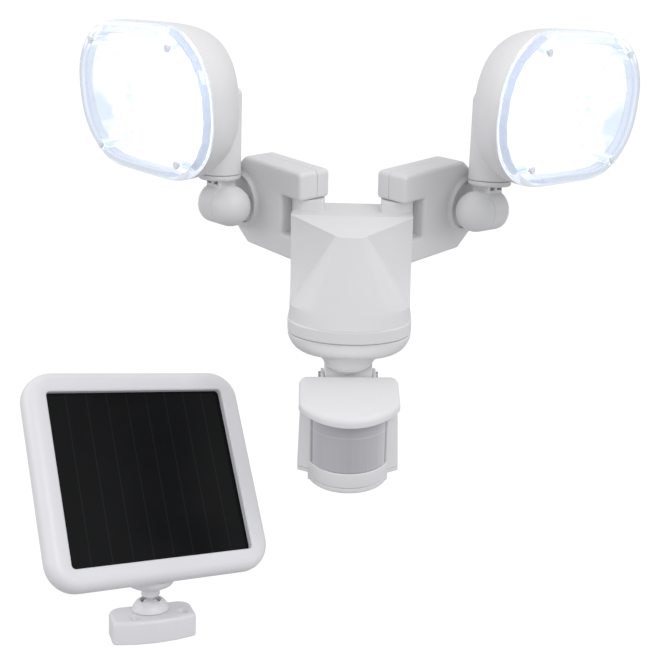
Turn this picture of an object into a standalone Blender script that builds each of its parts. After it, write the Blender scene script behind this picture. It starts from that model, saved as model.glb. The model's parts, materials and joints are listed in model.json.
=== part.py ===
"""Twin-head solar flood light: wall lamp with two hinged LED heads and a motion sensor, and its solar panel.

Metres, +Z up. The origin is the centre of the wall plate's back face; the lamp looks along -Y.
Each right-hand piece of the two arms and heads is built once and mirrored for the left side.
"""

import math

import bmesh
import bpy
from mathutils import Matrix, Vector

MM = 0.001
GAP = 0.3 * MM  # clearance between touching pieces

# Wall plate
PLATE_DEPTH = 7.0 * MM
PLATE_HALF_WIDTH = 34.0 * MM
PLATE_DROP = 35.0 * MM
TONGUE_HALF_WIDTH = 12.5 * MM
TONGUE_RISE = 35.0 * MM
PLATE_SCREW_R = 2.4 * MM
INLET_R = 2.2 * MM

# Lamp housing
BODY_HALF_WIDTH = 39.0 * MM
BAND_HALF_WIDTH = 40.3 * MM
BAND_FRONT_DEPTH = 25.9 * MM
BAND_HEIGHT = 9.0 * MM
BODY_WALL = 2.5 * MM
SEAM_Z = -37.2 * MM
ROOF_Z = 37.0 * MM
APEX_Z = 30.0 * MM
APEX_HALF_WIDTH = 10.0 * MM
SIDE_EDGE_Y = -37.6 * MM
VALLEY_FOOT_Z = -18.0 * MM
NECK_R = 16.6 * MM
NECK_Y = -47.8 * MM
NECK_DROP = 20.8 * MM
BACK_Y = -PLATE_DEPTH - GAP

# Arm hinges
HINGE_X = 30.1 * MM
HINGE_Y = -20.0 * MM
PIN_R = 2.6 * MM
ARM_REST_ANGLE = 48.3

# Arms
ARM_TOP = 63.0 * MM
FINGER_BOTTOM = 44.5 * MM
THROAT_BOTTOM = 19.1 * MM
ARM_BOTTOM = 2.9 * MM
ARM_INNER_END = 9.4 * MM
THROAT_DEPTH = 10.9 * MM
ARM_LENGTH = 50.3 * MM
ARM_FRONT = 12.8 * MM
ARM_BACK = 11.8 * MM
ARM_PARTING = 1.4 * MM
ARM_WALL = 2.4 * MM
ARM_EDGE_R = 2.6 * MM
HUB_X = 55.6 * MM
HUB_Z = 32.7 * MM
HUB_R = 21.0 * MM
RECESS_R = 16.2 * MM
RECESS_DEPTH = 2.2 * MM
COLLAR_RISE = 1.6 * MM
SPINDLE_R = 6.9 * MM

# Knuckles
KNUCKLE_R = 13.5 * MM
KNUCKLE_STANDOFF = 18.0 * MM
KNUCKLE_HALF = 13.1 * MM
CLUTCH_X = 6.2 * MM
LEFT_REST_ROLL, RIGHT_REST_ROLL = -3.5, -5.9
KNUCKLE_REST_TILT = -4.5
BOLT_R = 2.9 * MM
FLANGE_Z = 19.9 * MM
FLANGE_R = 14.2 * MM
STUB_R = 7.4 * MM

# Lamp heads
STEM_R = 14.3 * MM
STEM_HEIGHT = 60.0 * MM
LENS_RISE = 49.9 * MM
LENS_REACH = 56.7 * MM
LENS_TURN, LENS_LEAN = 3.0, 4.9
LENS_POWER = 2.4
LENS_HALF_WIDTH = 82.0 * MM
LENS_HALF_HEIGHT = 48.0 * MM
LENS_DEPTH = 9.5 * MM
LENS_WALL = 2.0 * MM
RIM_Y = 3.0 * MM
BOWL_DEPTH = 62.0 * MM
BOWL_WALL = 2.4 * MM
LENS_SCREW_X = 51.4 * MM
LENS_SCREW_Z = 33.9 * MM
LENS_SCREW_R = 1.2 * MM
LENS_SCREW_LENGTH = 22.0 * MM
LENS_BOSS_R = 2.6 * MM
LENS_BOSS_Y = 9.0 * MM
LED_BOARD_Y = 15.0 * MM

# Motion sensor
SENSOR_REST_PAN = 3.0
SENSOR_AXIS_DROP = 11.0 * MM
BLOCK_HALF_WIDTH = 15.7 * MM
BLOCK_R = 10.5 * MM
SENSOR_HALF_WIDTH = 32.3 * MM
SENSOR_BACK = -13.0 * MM
WING_Y = -34.3 * MM
EYE_R = 26.6 * MM
EYE_WALL = 1.4 * MM
EYE_CENTRE_Y = -25.6 * MM
EYE_BOTTOM = -45.4 * MM
HOOD_FRONT = -58.2 * MM
HOOD_BACK_Z = 7.2 * MM
HOOD_FRONT_Z = -4.2 * MM
HOOD_BOTTOM = -10.6 * MM
HOOD_R = 36.6 * MM
SENSOR_WALL = 2.2 * MM
WING_SEAM = -52.2 * MM
WING_BOTTOM = -55.2 * MM
BAND_SEAM = -56.0 * MM
BASE_BOTTOM = -60.3 * MM
EAR_WIDTH = 3.4 * MM

# Solar panel
PANEL_CENTRE = Vector((-131.9 * MM, -60.0 * MM, -142.0 * MM))
PANEL_TURN, PANEL_LEAN, PANEL_ROLL = 50.0, -39.1, -19.5
PANEL_WIDTH = 164.0 * MM
PANEL_HEIGHT = 146.0 * MM
PANEL_CORNER_R = 21.0 * MM
WINDOW_WIDTH = 132.4 * MM
WINDOW_HEIGHT = 117.7 * MM
FRAME_DEPTH = 12.0 * MM
BEZEL_DEPTH = 5.0 * MM
CELL_DEPTH = 3.0 * MM
PANEL_BACK_DEPTH = 14.0 * MM
PANEL_WALL = 2.2 * MM
FOOT_TOP = Vector((-129.6 * MM, -97.5 * MM, -225.0 * MM))
FOOT_LEAN = -14.0
FOOT_TURN = 22.0
FOOT_HALF_WIDTH = 28.0 * MM
FOOT_THICKNESS = 16.0 * MM
BALL_R = 8.0 * MM
BALL_LIFT = -1.0 * MM
STEM_LENGTH = 24.0 * MM
PANEL_STEM_R = 6.4 * MM

PARTS = "solar_flood_light"
COLOURS = {
    "white_plastic": ((0.80, 0.80, 0.82, 1), 0.42, 0.0),
    "panel_plastic": ((0.86, 0.86, 0.89, 1), 0.35, 0.0),
    "clear_plastic": ((0.85, 0.90, 0.96, 1), 0.06, 0.0),
    "frosted_plastic": ((0.62, 0.63, 0.66, 1), 0.45, 0.0),
    "mirror_plastic": ((0.92, 0.93, 0.95, 1), 0.12, 1.0),
    "led_board": ((0.93, 0.96, 1.0, 1), 0.5, 0.0),
    "circuit_board": ((0.05, 0.24, 0.12, 1), 0.5, 0.0),
    "steel": ((0.62, 0.63, 0.65, 1), 0.3, 1.0),
    "rubber": ((0.05, 0.05, 0.055, 1), 0.8, 0.0),
    "battery_wrap": ((0.10, 0.28, 0.55, 1), 0.4, 0.0),
    "solar_cell": ((0.012, 0.013, 0.018, 1), 0.15, 0.0),
}


# ---------------------------------------------------------------- scene and materials


def clear_scene():
    for obj in list(bpy.data.objects):
        bpy.data.objects.remove(obj, do_unlink=True)


def make_collection():
    collection = bpy.data.collections.new(PARTS)
    bpy.context.scene.collection.children.link(collection)
    return collection


def make_material(name):
    colour, roughness, metallic = COLOURS[name]
    material = bpy.data.materials.get(name) or bpy.data.materials.new(name)
    material.use_nodes = True
    shader = material.node_tree.nodes["Principled BSDF"]
    shader.inputs["Base Color"].default_value = colour
    shader.inputs["Roughness"].default_value = roughness
    shader.inputs["Metallic"].default_value = metallic
    return material


# ---------------------------------------------------------------- shapes


def temporary(mesh, name="work"):
    obj = bpy.data.objects.new(name, mesh)
    bpy.context.scene.collection.objects.link(obj)
    return obj


def from_bmesh(bm):
    bmesh.ops.recalc_face_normals(bm, faces=bm.faces)
    mesh = bpy.data.meshes.new("work")
    bm.to_mesh(mesh)
    bm.free()
    return temporary(mesh)


def applied(obj):
    """The object as its modifiers leave it, as a plain welded mesh."""
    graph = bpy.context.evaluated_depsgraph_get()
    mesh = bpy.data.meshes.new_from_object(obj.evaluated_get(graph))
    mesh.transform(obj.matrix_world)
    bm = bmesh.new()
    bm.from_mesh(mesh)
    bmesh.ops.remove_doubles(bm, verts=bm.verts, dist=0.01 * MM)
    bmesh.ops.dissolve_degenerate(bm, edges=bm.edges, dist=0.005 * MM)
    bm.to_mesh(mesh)
    bm.free()
    bpy.data.objects.remove(obj, do_unlink=True)
    return temporary(mesh)


def combine(obj, tools, operation):
    for tool in tools:
        modifier = obj.modifiers.new(operation.lower(), "BOOLEAN")
        modifier.operation = operation
        modifier.solver = "EXACT"
        modifier.object = tool
    result = applied(obj)
    for tool in tools:
        bpy.data.objects.remove(tool, do_unlink=True)
    return result


def cut(obj, *tools):
    return combine(obj, tools, "DIFFERENCE")


def join(obj, *others):
    return combine(obj, others, "UNION")


def placed(obj, matrix):
    obj.data.transform(matrix)
    return obj


def box(low, high):
    bm = bmesh.new()
    bmesh.ops.create_cube(bm, size=1)
    size = [high[i] - low[i] for i in range(3)]
    middle = [(high[i] + low[i]) / 2 for i in range(3)]
    bmesh.ops.scale(bm, vec=size, verts=bm.verts)
    bmesh.ops.translate(bm, vec=middle, verts=bm.verts)
    return from_bmesh(bm)


def rod(axis, start, end, across, radius, end_radius=None, segments=20):
    """A cylinder or cone along X, Y or Z; across holds its centre on the other two axes."""
    bm = bmesh.new()
    bmesh.ops.create_cone(
        bm, cap_ends=True, segments=segments, radius1=radius,
        radius2=radius if end_radius is None else end_radius, depth=end - start,
    )
    bmesh.ops.translate(bm, vec=(0, 0, (start + end) / 2), verts=bm.verts)
    if axis == "x":
        matrix = Matrix.Translation((0, across[0], across[1])) @ Matrix.Rotation(math.pi / 2, 4, "Y")
    elif axis == "y":
        matrix = Matrix.Translation((across[0], 0, across[1])) @ Matrix.Rotation(-math.pi / 2, 4, "X")
    else:
        matrix = Matrix.Translation((across[0], across[1], 0))
    bmesh.ops.transform(bm, matrix=matrix, verts=bm.verts)
    return from_bmesh(bm)


def turned(profile, steps=20):
    """A profile of (radius, height) points, outer side first and top to bottom, turned about Z."""
    mesh = bpy.data.meshes.new("profile")
    points = [(radius, 0, height) for radius, height in profile]
    edges = [(i, i + 1) for i in range(len(points) - 1)]
    if min(profile[0][0], profile[-1][0]) > 0:
        edges.append((len(points) - 1, 0))
    mesh.from_pydata(points, edges, [])
    obj = temporary(mesh)
    screw = obj.modifiers.new("screw", "SCREW")
    screw.axis = "Z"
    screw.steps = steps
    screw.render_steps = steps
    screw.use_merge_vertices = True
    screw.merge_threshold = 0.01 * MM
    return applied(obj)


def plate(outline, low, high):
    """A flat outline in X and Z, filled between two depths along Y."""
    curve = bpy.data.curves.new("outline", "CURVE")
    curve.dimensions = "2D"
    curve.fill_mode = "BOTH"
    curve.extrude = (high - low) / 2
    spline = curve.splines.new("POLY")
    spline.points.add(len(outline) - 1)
    for point, (x, z) in zip(spline.points, outline):
        point.co = (x, z, 0, 1)
    spline.use_cyclic_u = True
    obj = bpy.data.objects.new("outline", curve)
    bpy.context.scene.collection.objects.link(obj)
    graph = bpy.context.evaluated_depsgraph_get()
    mesh = bpy.data.meshes.new_from_object(obj.evaluated_get(graph))
    bpy.data.objects.remove(obj, do_unlink=True)
    bm = bmesh.new()
    bm.from_mesh(mesh)
    bmesh.ops.remove_doubles(bm, verts=bm.verts, dist=0.01 * MM)
    bmesh.ops.dissolve_limit(bm, angle_limit=math.radians(0.1), verts=bm.verts, edges=bm.edges)
    turn = Matrix.Translation((0, (low + high) / 2, 0)) @ Matrix.Rotation(math.pi / 2, 4, "X")
    bmesh.ops.transform(bm, matrix=turn, verts=bm.verts)
    return from_bmesh(bm)


def level_plate(outline, low, high):
    """An outline in X and Y filled between two heights."""
    return placed(plate([(x, -y) for x, y in outline], low, high), Matrix.Rotation(math.pi / 2, 4, "X"))


def loft(rings):
    """A closed skin over rings that all have the same number of points, capped at both ends."""
    bm = bmesh.new()
    rows = [[bm.verts.new(point) for point in ring] for ring in rings]
    count = len(rows[0])
    for lower, upper in zip(rows, rows[1:]):
        for i in range(count):
            j = (i + 1) % count
            bm.faces.new((lower[i], lower[j], upper[j], upper[i]))
    caps = [bm.faces.new(rows[0]), bm.faces.new(rows[-1])]
    bmesh.ops.triangulate(bm, faces=[face for face in bm.faces if face not in caps])
    return from_bmesh(bm)


def hoop(rings):
    """A closed skin over rings that run all the way round a wall section, with no ends."""
    bm = bmesh.new()
    rows = [[bm.verts.new(point) for point in ring] for ring in rings]
    count = len(rows[0])
    for lower, upper in zip(rows, rows[1:] + rows[:1]):
        for i in range(count):
            j = (i + 1) % count
            bm.faces.new((lower[i], lower[j], upper[j], upper[i]))
    return from_bmesh(bm)


def bevelled(obj, width, segments=2, angle=35):
    bevel = obj.modifiers.new("bevel", "BEVEL")
    bevel.width = width
    bevel.segments = segments
    bevel.limit_method = "ANGLE"
    bevel.angle_limit = math.radians(angle)
    return applied(obj)


def sliced(obj, point, normal):
    """Keeps what lies behind the plane and closes the cut."""
    bm = bmesh.new()
    bm.from_mesh(obj.data)
    result = bmesh.ops.bisect_plane(
        bm, geom=bm.verts[:] + bm.edges[:] + bm.faces[:], plane_co=point, plane_no=normal,
        clear_outer=True, dist=0.001 * MM,
    )
    edges = [item for item in result["geom_cut"] if isinstance(item, bmesh.types.BMEdge)]
    bmesh.ops.edgeloop_fill(bm, edges=edges)
    bmesh.ops.recalc_face_normals(bm, faces=bm.faces)
    bm.to_mesh(obj.data)
    bm.free()
    return obj


def arc(centre, radius, first, last, count):
    """Points on a circle from one angle to another, in degrees."""
    turns = [math.radians(first + (last - first) * i / (count - 1)) for i in range(count)]
    return [(centre[0] + radius * math.cos(t), centre[1] + radius * math.sin(t)) for t in turns]


def rounded_rectangle(width, height, radius, count=5):
    x, z = width / 2 - radius, height / 2 - radius
    corners = (((x, z), 0), ((-x, z), 90), ((-x, -z), 180), ((x, -z), 270))
    return [point for centre, start in corners for point in arc(centre, radius, start, start + 90, count)]


# ---------------------------------------------------------------- frames and finished pieces


class Frame:
    """An empty on a joint's axis, with its place in the world."""

    def __init__(self, name, matrix, parent=None):
        self.world = parent.world @ matrix if parent else matrix
        self.empty = bpy.data.objects.new(name, None)
        self.empty.empty_display_size = 0.02
        bpy.context.scene.collection.objects.link(self.empty)
        self.empty.parent = parent.empty if parent else None
        self.empty.matrix_basis = matrix


def finish(obj, name, material, collection, frame=None, mirrored=False):
    """Names a solid, gives it its material and hangs it on its frame."""
    mesh = obj.data.copy()
    if mirrored:
        mesh.transform(Matrix.Scale(-1, 4, (1, 0, 0)))
        mesh.flip_normals()
    mesh.name = name
    mesh.materials.clear()
    mesh.materials.append(make_material(material))
    mesh.shade_smooth()
    mesh.set_sharp_from_angle(angle=math.radians(32))
    piece = bpy.data.objects.new(name, mesh)
    collection.objects.link(piece)
    if frame:
        piece.parent = frame.empty
    return piece


def both_sides(obj, name, material, collection, frames):
    """Places a right-hand solid and its mirror image."""
    finish(obj, "right_" + name, material, collection, frames["right"])
    finish(obj, "left_" + name, material, collection, frames["left"], mirrored=True)
    bpy.data.objects.remove(obj, do_unlink=True)


def single(obj, name, material, collection, frame=None):
    finish(obj, name, material, collection, frame)
    bpy.data.objects.remove(obj, do_unlink=True)


# ---------------------------------------------------------------- housing


def body_plan(half_width, front_depth, back_depth, count=28):
    """The band's plan about the sensor neck: half an ellipse in front, a squared half behind."""
    points = []
    for i in range(count):
        turn = 2 * math.pi * i / count
        c, s = math.cos(turn), math.sin(turn)
        if s <= 0:
            points.append((half_width * c, front_depth * s))
        else:
            points.append((half_width * math.copysign(abs(c) ** 0.4, c), back_depth * s ** 0.4))
    return points


def band_ring(z, inset=0.0, width=BAND_HALF_WIDTH):
    plan = body_plan(width - inset, BAND_FRONT_DEPTH - inset, BACK_Y - NECK_Y - inset)
    return [(x, NECK_Y + y, z) for x, y in plan]


def faceted_ring(z, inset=0.0, count=28):
    """A level section of the housing: flat sides, two slanting facets and the cone between them."""
    half = BODY_HALF_WIDTH - inset
    fall = min(max((APEX_Z - z) / (APEX_Z - VALLEY_FOOT_Z), 0.0), 1.0)
    drop = min(max((APEX_Z - z) / (APEX_Z - SEAM_Z - BAND_HEIGHT), 0.0), 1.0)
    valley_x = APEX_HALF_WIDTH + (BODY_HALF_WIDTH - APEX_HALF_WIDTH) * fall - inset
    valley_y = NECK_Y - 10.2 * MM * (1 - fall) + inset
    nose_y = NECK_Y - 12.2 * MM - (BAND_FRONT_DEPTH - 12.2 * MM) * drop + inset
    edge_y = SIDE_EDGE_Y + (NECK_Y - SIDE_EDGE_Y) * fall ** 4 + inset * 0.4
    front = count // 2
    points = [(x, NECK_Y + y, z) for x, y in body_plan(half, BAND_FRONT_DEPTH, BACK_Y - NECK_Y - inset,
                                                       count)]
    points[0] = (half, edge_y, z)
    points[front] = (-half, edge_y, z)
    for i in range(front + 1, count):
        turn = math.pi * (i - front - 1) / (count - front - 2)
        points[i] = (-valley_x * math.cos(turn), valley_y + (nose_y - valley_y) * math.sin(turn), z)
    return points


def housing_skin(inset, low, roof_drop):
    heights = [SEAM_Z + BAND_HEIGHT + (APEX_Z - SEAM_Z - BAND_HEIGHT) * i / 5 for i in range(6)]
    rings = [band_ring(low, inset), band_ring(SEAM_Z + BAND_HEIGHT - 1.0 * MM, inset)]
    rings += [faceted_ring(z, inset) for z in heights]
    rings.append(faceted_ring(ROOF_Z + 12 * MM, inset))
    skin = loft(rings)
    roof = Vector((0, SIDE_EDGE_Y, ROOF_Z - roof_drop))
    run = NECK_Y - 10.2 * MM - SIDE_EDGE_Y
    slope = Vector((0, -(APEX_Z - ROOF_Z) / run, 1)).normalized()
    skin = sliced(skin, roof, Vector((0, 0, 1)))
    return sliced(skin, roof, slope)


def finger_notch(side, grow=0.0):
    """Room for the arm's lower finger at a rear corner of the housing, open to the side and the back."""
    reach = math.hypot(ARM_INNER_END, ARM_FRONT) + 0.5 * MM + grow
    outer, back = BODY_HALF_WIDTH + 10 * MM, 10 * MM
    sweep = arc((HINGE_X, HINGE_Y), reach, 180, 270, 9)
    outline = [(side * x, y) for x, y in [(outer, back), (HINGE_X - reach, back), *sweep,
                                          (outer, HINGE_Y - reach)]]
    return level_plate(outline, ARM_BOTTOM - 0.4 * MM - grow, THROAT_BOTTOM + 0.4 * MM + grow)


def hinge_lug(side):
    """The raised pad that fills the arm's throat, round about the hinge so that the arm can swing."""
    reach = THROAT_DEPTH - 1.8 * MM
    inner = HINGE_X - 11.7 * MM
    sweep = arc((HINGE_X, HINGE_Y), reach, -90, 90, 11)
    outline = [(side * x, y) for x, y in [*sweep, (inner, HINGE_Y + reach), (inner, HINGE_Y - reach)]]
    return level_plate(outline, ROOF_Z - 2.2 * MM, FINGER_BOTTOM - GAP)


def make_housing(collection):
    shell = housing_skin(0.0, SEAM_Z, 0.0)
    hollow = housing_skin(BODY_WALL, SEAM_Z - 5 * MM, BODY_WALL)
    hollow = cut(hollow, finger_notch(1, BODY_WALL), finger_notch(-1, BODY_WALL))
    shell = cut(shell, hollow, finger_notch(1), finger_notch(-1))
    for side in (1, -1):
        shell = join(shell, hinge_lug(side))
        boss = rod("z", THROAT_BOTTOM + 0.4 * MM + BODY_WALL - 1 * MM, ROOF_Z - 1 * MM,
                   (side * HINGE_X, HINGE_Y), PIN_R + 3.0 * MM)
        shell = join(shell, boss)
        shell = cut(shell, rod("z", THROAT_BOTTOM - 2 * MM, ARM_TOP, (side * HINGE_X, HINGE_Y),
                               PIN_R + GAP))
    single(shell, "housing", "white_plastic", collection)


def make_battery_cover(collection):
    """The bowl under the seam, drawn in to the round sensor neck."""
    steps = [(0.0, 0.0), (0.03, 0.16), (0.12, 0.34), (0.28, 0.52), (0.55, 0.68), (0.80, 0.80),
             (0.94, 0.91), (1.0, 1.0)]
    top = SEAM_Z - GAP

    def ring(blend, z, inset):
        plan = body_plan(BAND_HALF_WIDTH - inset, BAND_FRONT_DEPTH - inset, BACK_Y - NECK_Y - inset)
        radius = NECK_R - inset
        points = []
        for i, (x, y) in enumerate(plan):
            turn = 2 * math.pi * i / len(plan)
            rx, ry = radius * math.cos(turn), radius * math.sin(turn)
            points.append((x + (rx - x) * blend, NECK_Y + y + (ry - y) * blend, z))
        return points

    outer = loft([ring(blend, top - NECK_DROP * fall, 0.0) for blend, fall in steps])
    floor = top - NECK_DROP + BODY_WALL
    inner = [ring(blend, max(top - NECK_DROP * fall + BODY_WALL * (fall > 0), floor), BODY_WALL)
             for blend, fall in steps[:-1]]
    hollow = loft([ring(0.0, top + 2 * MM, BODY_WALL)] + inner[1:] + [ring(0.98, floor, BODY_WALL)])
    bore = rod("z", top - NECK_DROP - 5 * MM, top, (0, NECK_Y), 9.3 * MM)
    single(cut(outer, hollow, bore), "battery_cover", "white_plastic", collection)


def make_wall_plate(collection):
    drop, wide, narrow, rise = PLATE_DROP, PLATE_HALF_WIDTH, TONGUE_HALF_WIDTH, TONGUE_RISE
    outline = [(-wide, -drop), (wide, -drop), (wide, 0), (narrow, 0), (narrow, rise), (-narrow, rise),
               (-narrow, 0), (-wide, 0)]
    body = bevelled(plate(outline, -PLATE_DEPTH, 0), 1.0 * MM, 1, 60)
    holes = [(0, rise - 9 * MM), (wide - 9 * MM, -drop + 12 * MM), (9 * MM - wide, -drop + 12 * MM)]
    cutters = [rod("y", -PLATE_DEPTH - 1 * MM, 1 * MM, at, PLATE_SCREW_R, segments=16) for at in holes]
    cutters.append(rod("z", -drop - 1 * MM, -drop + 9 * MM, (wide / 2, -PLATE_DEPTH / 2), INLET_R,
                       segments=16))
    single(cut(body, *cutters), "wall_plate", "white_plastic", collection)
    barb = INLET_R - GAP
    gland = turned([(0.0, 0.0), (barb, 0.0), (barb, -6 * MM), (3.0 * MM, -6 * MM), (3.0 * MM, -13 * MM),
                    (1.3 * MM, -13 * MM), (1.3 * MM, -2 * MM), (0.0, -2 * MM)], 16)
    placed(gland, Matrix.Translation((wide / 2, -PLATE_DEPTH / 2, -drop + 5.6 * MM)))
    single(gland, "panel_lead_inlet", "rubber", collection)


def make_inner_pieces(collection):
    cell_r, cell_low = 9.0 * MM, SEAM_Z + 4 * MM
    for side, label in ((1, "right"), (-1, "left")):
        middle = (side * (cell_r + 0.4 * MM), NECK_Y + 6.4 * MM)
        cell = turned([(0, 52 * MM), (2.6 * MM, 52 * MM), (2.6 * MM, 50.6 * MM), (cell_r, 50.4 * MM),
                       (cell_r, 0), (0, 0)], 20)
        placed(cell, Matrix.Translation((middle[0], middle[1], cell_low)))
        single(cell, label + "_battery_cell", "battery_wrap", collection)
        length = ARM_TOP - ARM_BOTTOM - 8 * MM
        pin = turned([(0, length), (PIN_R - 0.4 * MM, length), (PIN_R, length - 0.6 * MM),
                      (PIN_R, 0.6 * MM),
                      (PIN_R - 0.4 * MM, 0), (0, 0)], 16)
        placed(pin, Matrix.Translation((side * HINGE_X, HINGE_Y, ARM_BOTTOM + 4 * MM)))
        single(pin, label + "_hinge_pin", "steel", collection)
    board_back = BACK_Y - BODY_WALL - 1.5 * MM
    board = box((-22 * MM, board_back - 1.6 * MM, SEAM_Z + 5 * MM),
                (22 * MM, board_back, ARM_BOTTOM - 5 * MM))
    chip = box((-12 * MM, board_back - 5 * MM, -24 * MM), (6 * MM, board_back - 1 * MM, -12 * MM))
    single(join(board, chip), "control_board", "circuit_board", collection)


# ---------------------------------------------------------------- arms and knuckles


def mirrored_frames(name, matrix_for, parents=None):
    """A frame for each side; matrix_for takes +1 for the right-hand side and -1 for the left."""
    return {
        label: Frame(label + "_" + name, matrix_for(side), parents[label] if parents else None)
        for side, label in ((1, "right"), (-1, "left"))
    }


def turn_about(axis, degrees):
    return Matrix.Rotation(math.radians(degrees), 4, axis)


def arm_outline():
    hub = arc((HUB_X, HUB_Z), HUB_R, -72, 62, 9)
    return [
        (-ARM_INNER_END, FINGER_BOTTOM), (THROAT_DEPTH, FINGER_BOTTOM), (THROAT_DEPTH, THROAT_BOTTOM),
        (-ARM_INNER_END, THROAT_BOTTOM), (-ARM_INNER_END, ARM_BOTTOM), (ARM_LENGTH, ARM_BOTTOM),
        *hub, (ARM_LENGTH + 1 * MM, ARM_TOP), (-ARM_INNER_END, ARM_TOP),
    ]


def arm_pocket(front, back):
    inner = arc((HUB_X, HUB_Z), HUB_R - ARM_WALL, -60, 50, 7)
    left, low, high = THROAT_DEPTH + ARM_WALL, ARM_BOTTOM + ARM_WALL, ARM_TOP - ARM_WALL
    outline = [(left, low), (ARM_LENGTH - 2 * ARM_WALL, low), *inner, (ARM_LENGTH - ARM_WALL, high),
               (left, high)]
    return plate(outline, front, back)


def make_arms(collection, frames):
    whole = bevelled(plate(arm_outline(), -ARM_FRONT, ARM_BACK), ARM_EDGE_R, 2)
    pin_bore = rod("z", ARM_BOTTOM + 3.7 * MM, ARM_TOP - 3.7 * MM, (0, 0), PIN_R + GAP, segments=20)
    whole = cut(whole, pin_bore)
    back = temporary(whole.data.copy())
    front = sliced(whole, Vector((0, ARM_PARTING - GAP / 2, 0)), Vector((0, 1, 0)))
    back = sliced(back, Vector((0, ARM_PARTING + GAP / 2, 0)), Vector((0, -1, 0)))
    back = cut(back, arm_pocket(ARM_PARTING - 1 * MM, ARM_BACK - ARM_WALL))
    both_sides(back, "arm_back", "white_plastic", collection, frames)
    floor = -ARM_FRONT + RECESS_DEPTH
    rim = -ARM_FRONT - COLLAR_RISE
    collar = rod("y", rim, -ARM_FRONT + 1 * MM, (HUB_X, HUB_Z), RECESS_R + 1.6 * MM, RECESS_R + 3.4 * MM,
                 28)
    front = join(front, collar)
    recess = rod("y", rim - 1 * MM, floor, (HUB_X, HUB_Z), RECESS_R, segments=28)
    spindle_bore = rod("y", rim - 1 * MM, 0, (HUB_X, HUB_Z), SPINDLE_R + GAP)
    front = cut(front, recess, arm_pocket(floor + ARM_WALL, ARM_PARTING + 1 * MM), spindle_bore)
    both_sides(front, "arm_front", "white_plastic", collection, frames)


def half_capsule(start, radius, length, sign):
    """A round-ended bar along X from start, its dome centre at length."""
    dome = [(radius * math.cos(math.radians(a)), length + radius * math.sin(math.radians(a)))
            for a in (72, 54, 36, 18, 0)]
    profile = [(0, length + radius), *dome, (radius, start), (0, start)]
    return placed(turned(profile, 20), Matrix.Rotation(sign * math.pi / 2, 4, "Y"))


def make_knuckles(collection, roll_frames, tilt_frames):
    face = KNUCKLE_STANDOFF
    floor = face + RECESS_DEPTH
    bolt_bore = rod("x", 0, KNUCKLE_HALF + 6 * MM, (0, 0), BOLT_R + GAP, segments=20)
    rear = half_capsule(CLUTCH_X, KNUCKLE_R, KNUCKLE_HALF, 1)
    disc = rod("y", face - 1 * MM, floor - GAP, (0, 0), RECESS_R - GAP, segments=28)
    web = box((CLUTCH_X + 0.3 * MM, 4 * MM, -7 * MM), (CLUTCH_X + 7 * MM, face, 7 * MM))
    spindle = rod("y", floor - 1 * MM, floor + ARM_WALL + 4 * MM, (0, 0), SPINDLE_R)
    base = cut(join(rear, web, disc, spindle), bolt_bore)
    lead_bore = rod("y", face - 2 * MM, floor + 12 * MM, (0, 0), 3.2 * MM, segments=12)
    both_sides(cut(base, lead_bore), "knuckle_base", "white_plastic", collection, roll_frames)

    washer_low = floor + ARM_WALL + GAP
    washer = cut(rod("y", washer_low, washer_low + 2 * MM, (0, 0), SPINDLE_R + 3.4 * MM),
                 rod("y", washer_low - 1 * MM, washer_low + 3 * MM, (0, 0), SPINDLE_R + GAP))
    both_sides(washer, "spindle_washer", "steel", collection, roll_frames)

    cap_start = 10.4 * MM
    barrel = rod("x", -cap_start, CLUTCH_X - GAP, (0, 0), KNUCKLE_R, segments=28)
    neck = box((-cap_start + 1 * MM, -6.5 * MM, 2 * MM), (CLUTCH_X - GAP, 6.5 * MM, FLANGE_Z - 2 * MM))
    flange = rod("z", FLANGE_Z - 3.4 * MM, FLANGE_Z - GAP / 2, (0, 0), FLANGE_R - 0.8 * MM, FLANGE_R, 32)
    stub = rod("z", FLANGE_Z - 1 * MM, FLANGE_Z + 7 * MM, (0, 0), STUB_R)
    slot_low, slot_high = KNUCKLE_R + 0.3 * MM, FLANGE_Z - 3.3 * MM
    slots = [box((low, -8 * MM, slot_low), (high, 8 * MM, slot_high))
             for low, high in ((-8.4 * MM, -3.2 * MM), (-0.8 * MM, 4.2 * MM))]
    through = rod("x", -cap_start - 1 * MM, CLUTCH_X + 1 * MM, (0, 0), BOLT_R + GAP, segments=20)
    lead = rod("z", 0, FLANGE_Z + 9 * MM, (0, 0), 2.4 * MM, segments=16)
    barrel = cut(join(barrel, neck, flange, stub), through, lead, *slots)
    both_sides(barrel, "knuckle_barrel", "white_plastic", collection, tilt_frames)

    cap = half_capsule(cap_start + GAP, KNUCKLE_R, KNUCKLE_HALF, -1)
    cap = cut(cap, rod("x", -KNUCKLE_HALF - 5 * MM, -cap_start + 1 * MM, (0, 0), 6.3 * MM))
    both_sides(cap, "knuckle_cap", "white_plastic", collection, tilt_frames)

    shank = rod("x", -cap_start - 2 * MM, KNUCKLE_HALF + 5 * MM, (0, 0), BOLT_R, segments=20)
    head = rod("x", -cap_start - 4.4 * MM, -cap_start - 0.5 * MM, (0, 0), 5.4 * MM, segments=6)
    both_sides(join(shank, head), "tilt_bolt", "steel", collection, roll_frames)


# ---------------------------------------------------------------- lamp heads


def lens_outline(inset=0.0, count=28):
    """A flat-topped oval: an oval of a set power whose top and bottom are cut off straight."""
    half_x, half_z = LENS_HALF_WIDTH - inset, LENS_HALF_HEIGHT - inset
    points = []
    for i in range(count):
        turn = 2 * math.pi * (i + 0.5) / count
        c, s = math.cos(turn), math.sin(turn)
        x = half_x * math.copysign(abs(c) ** (2 / LENS_POWER), c)
        z = 1.07 * half_z * math.copysign(abs(s) ** (2 / LENS_POWER), s)
        points.append((x, max(-half_z, min(half_z, z))))
    return points


def lens_ring(y, inset=0.0, across=1.0, up=1.0):
    return [(x * across, y, z * up) for x, z in lens_outline(inset)]


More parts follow.
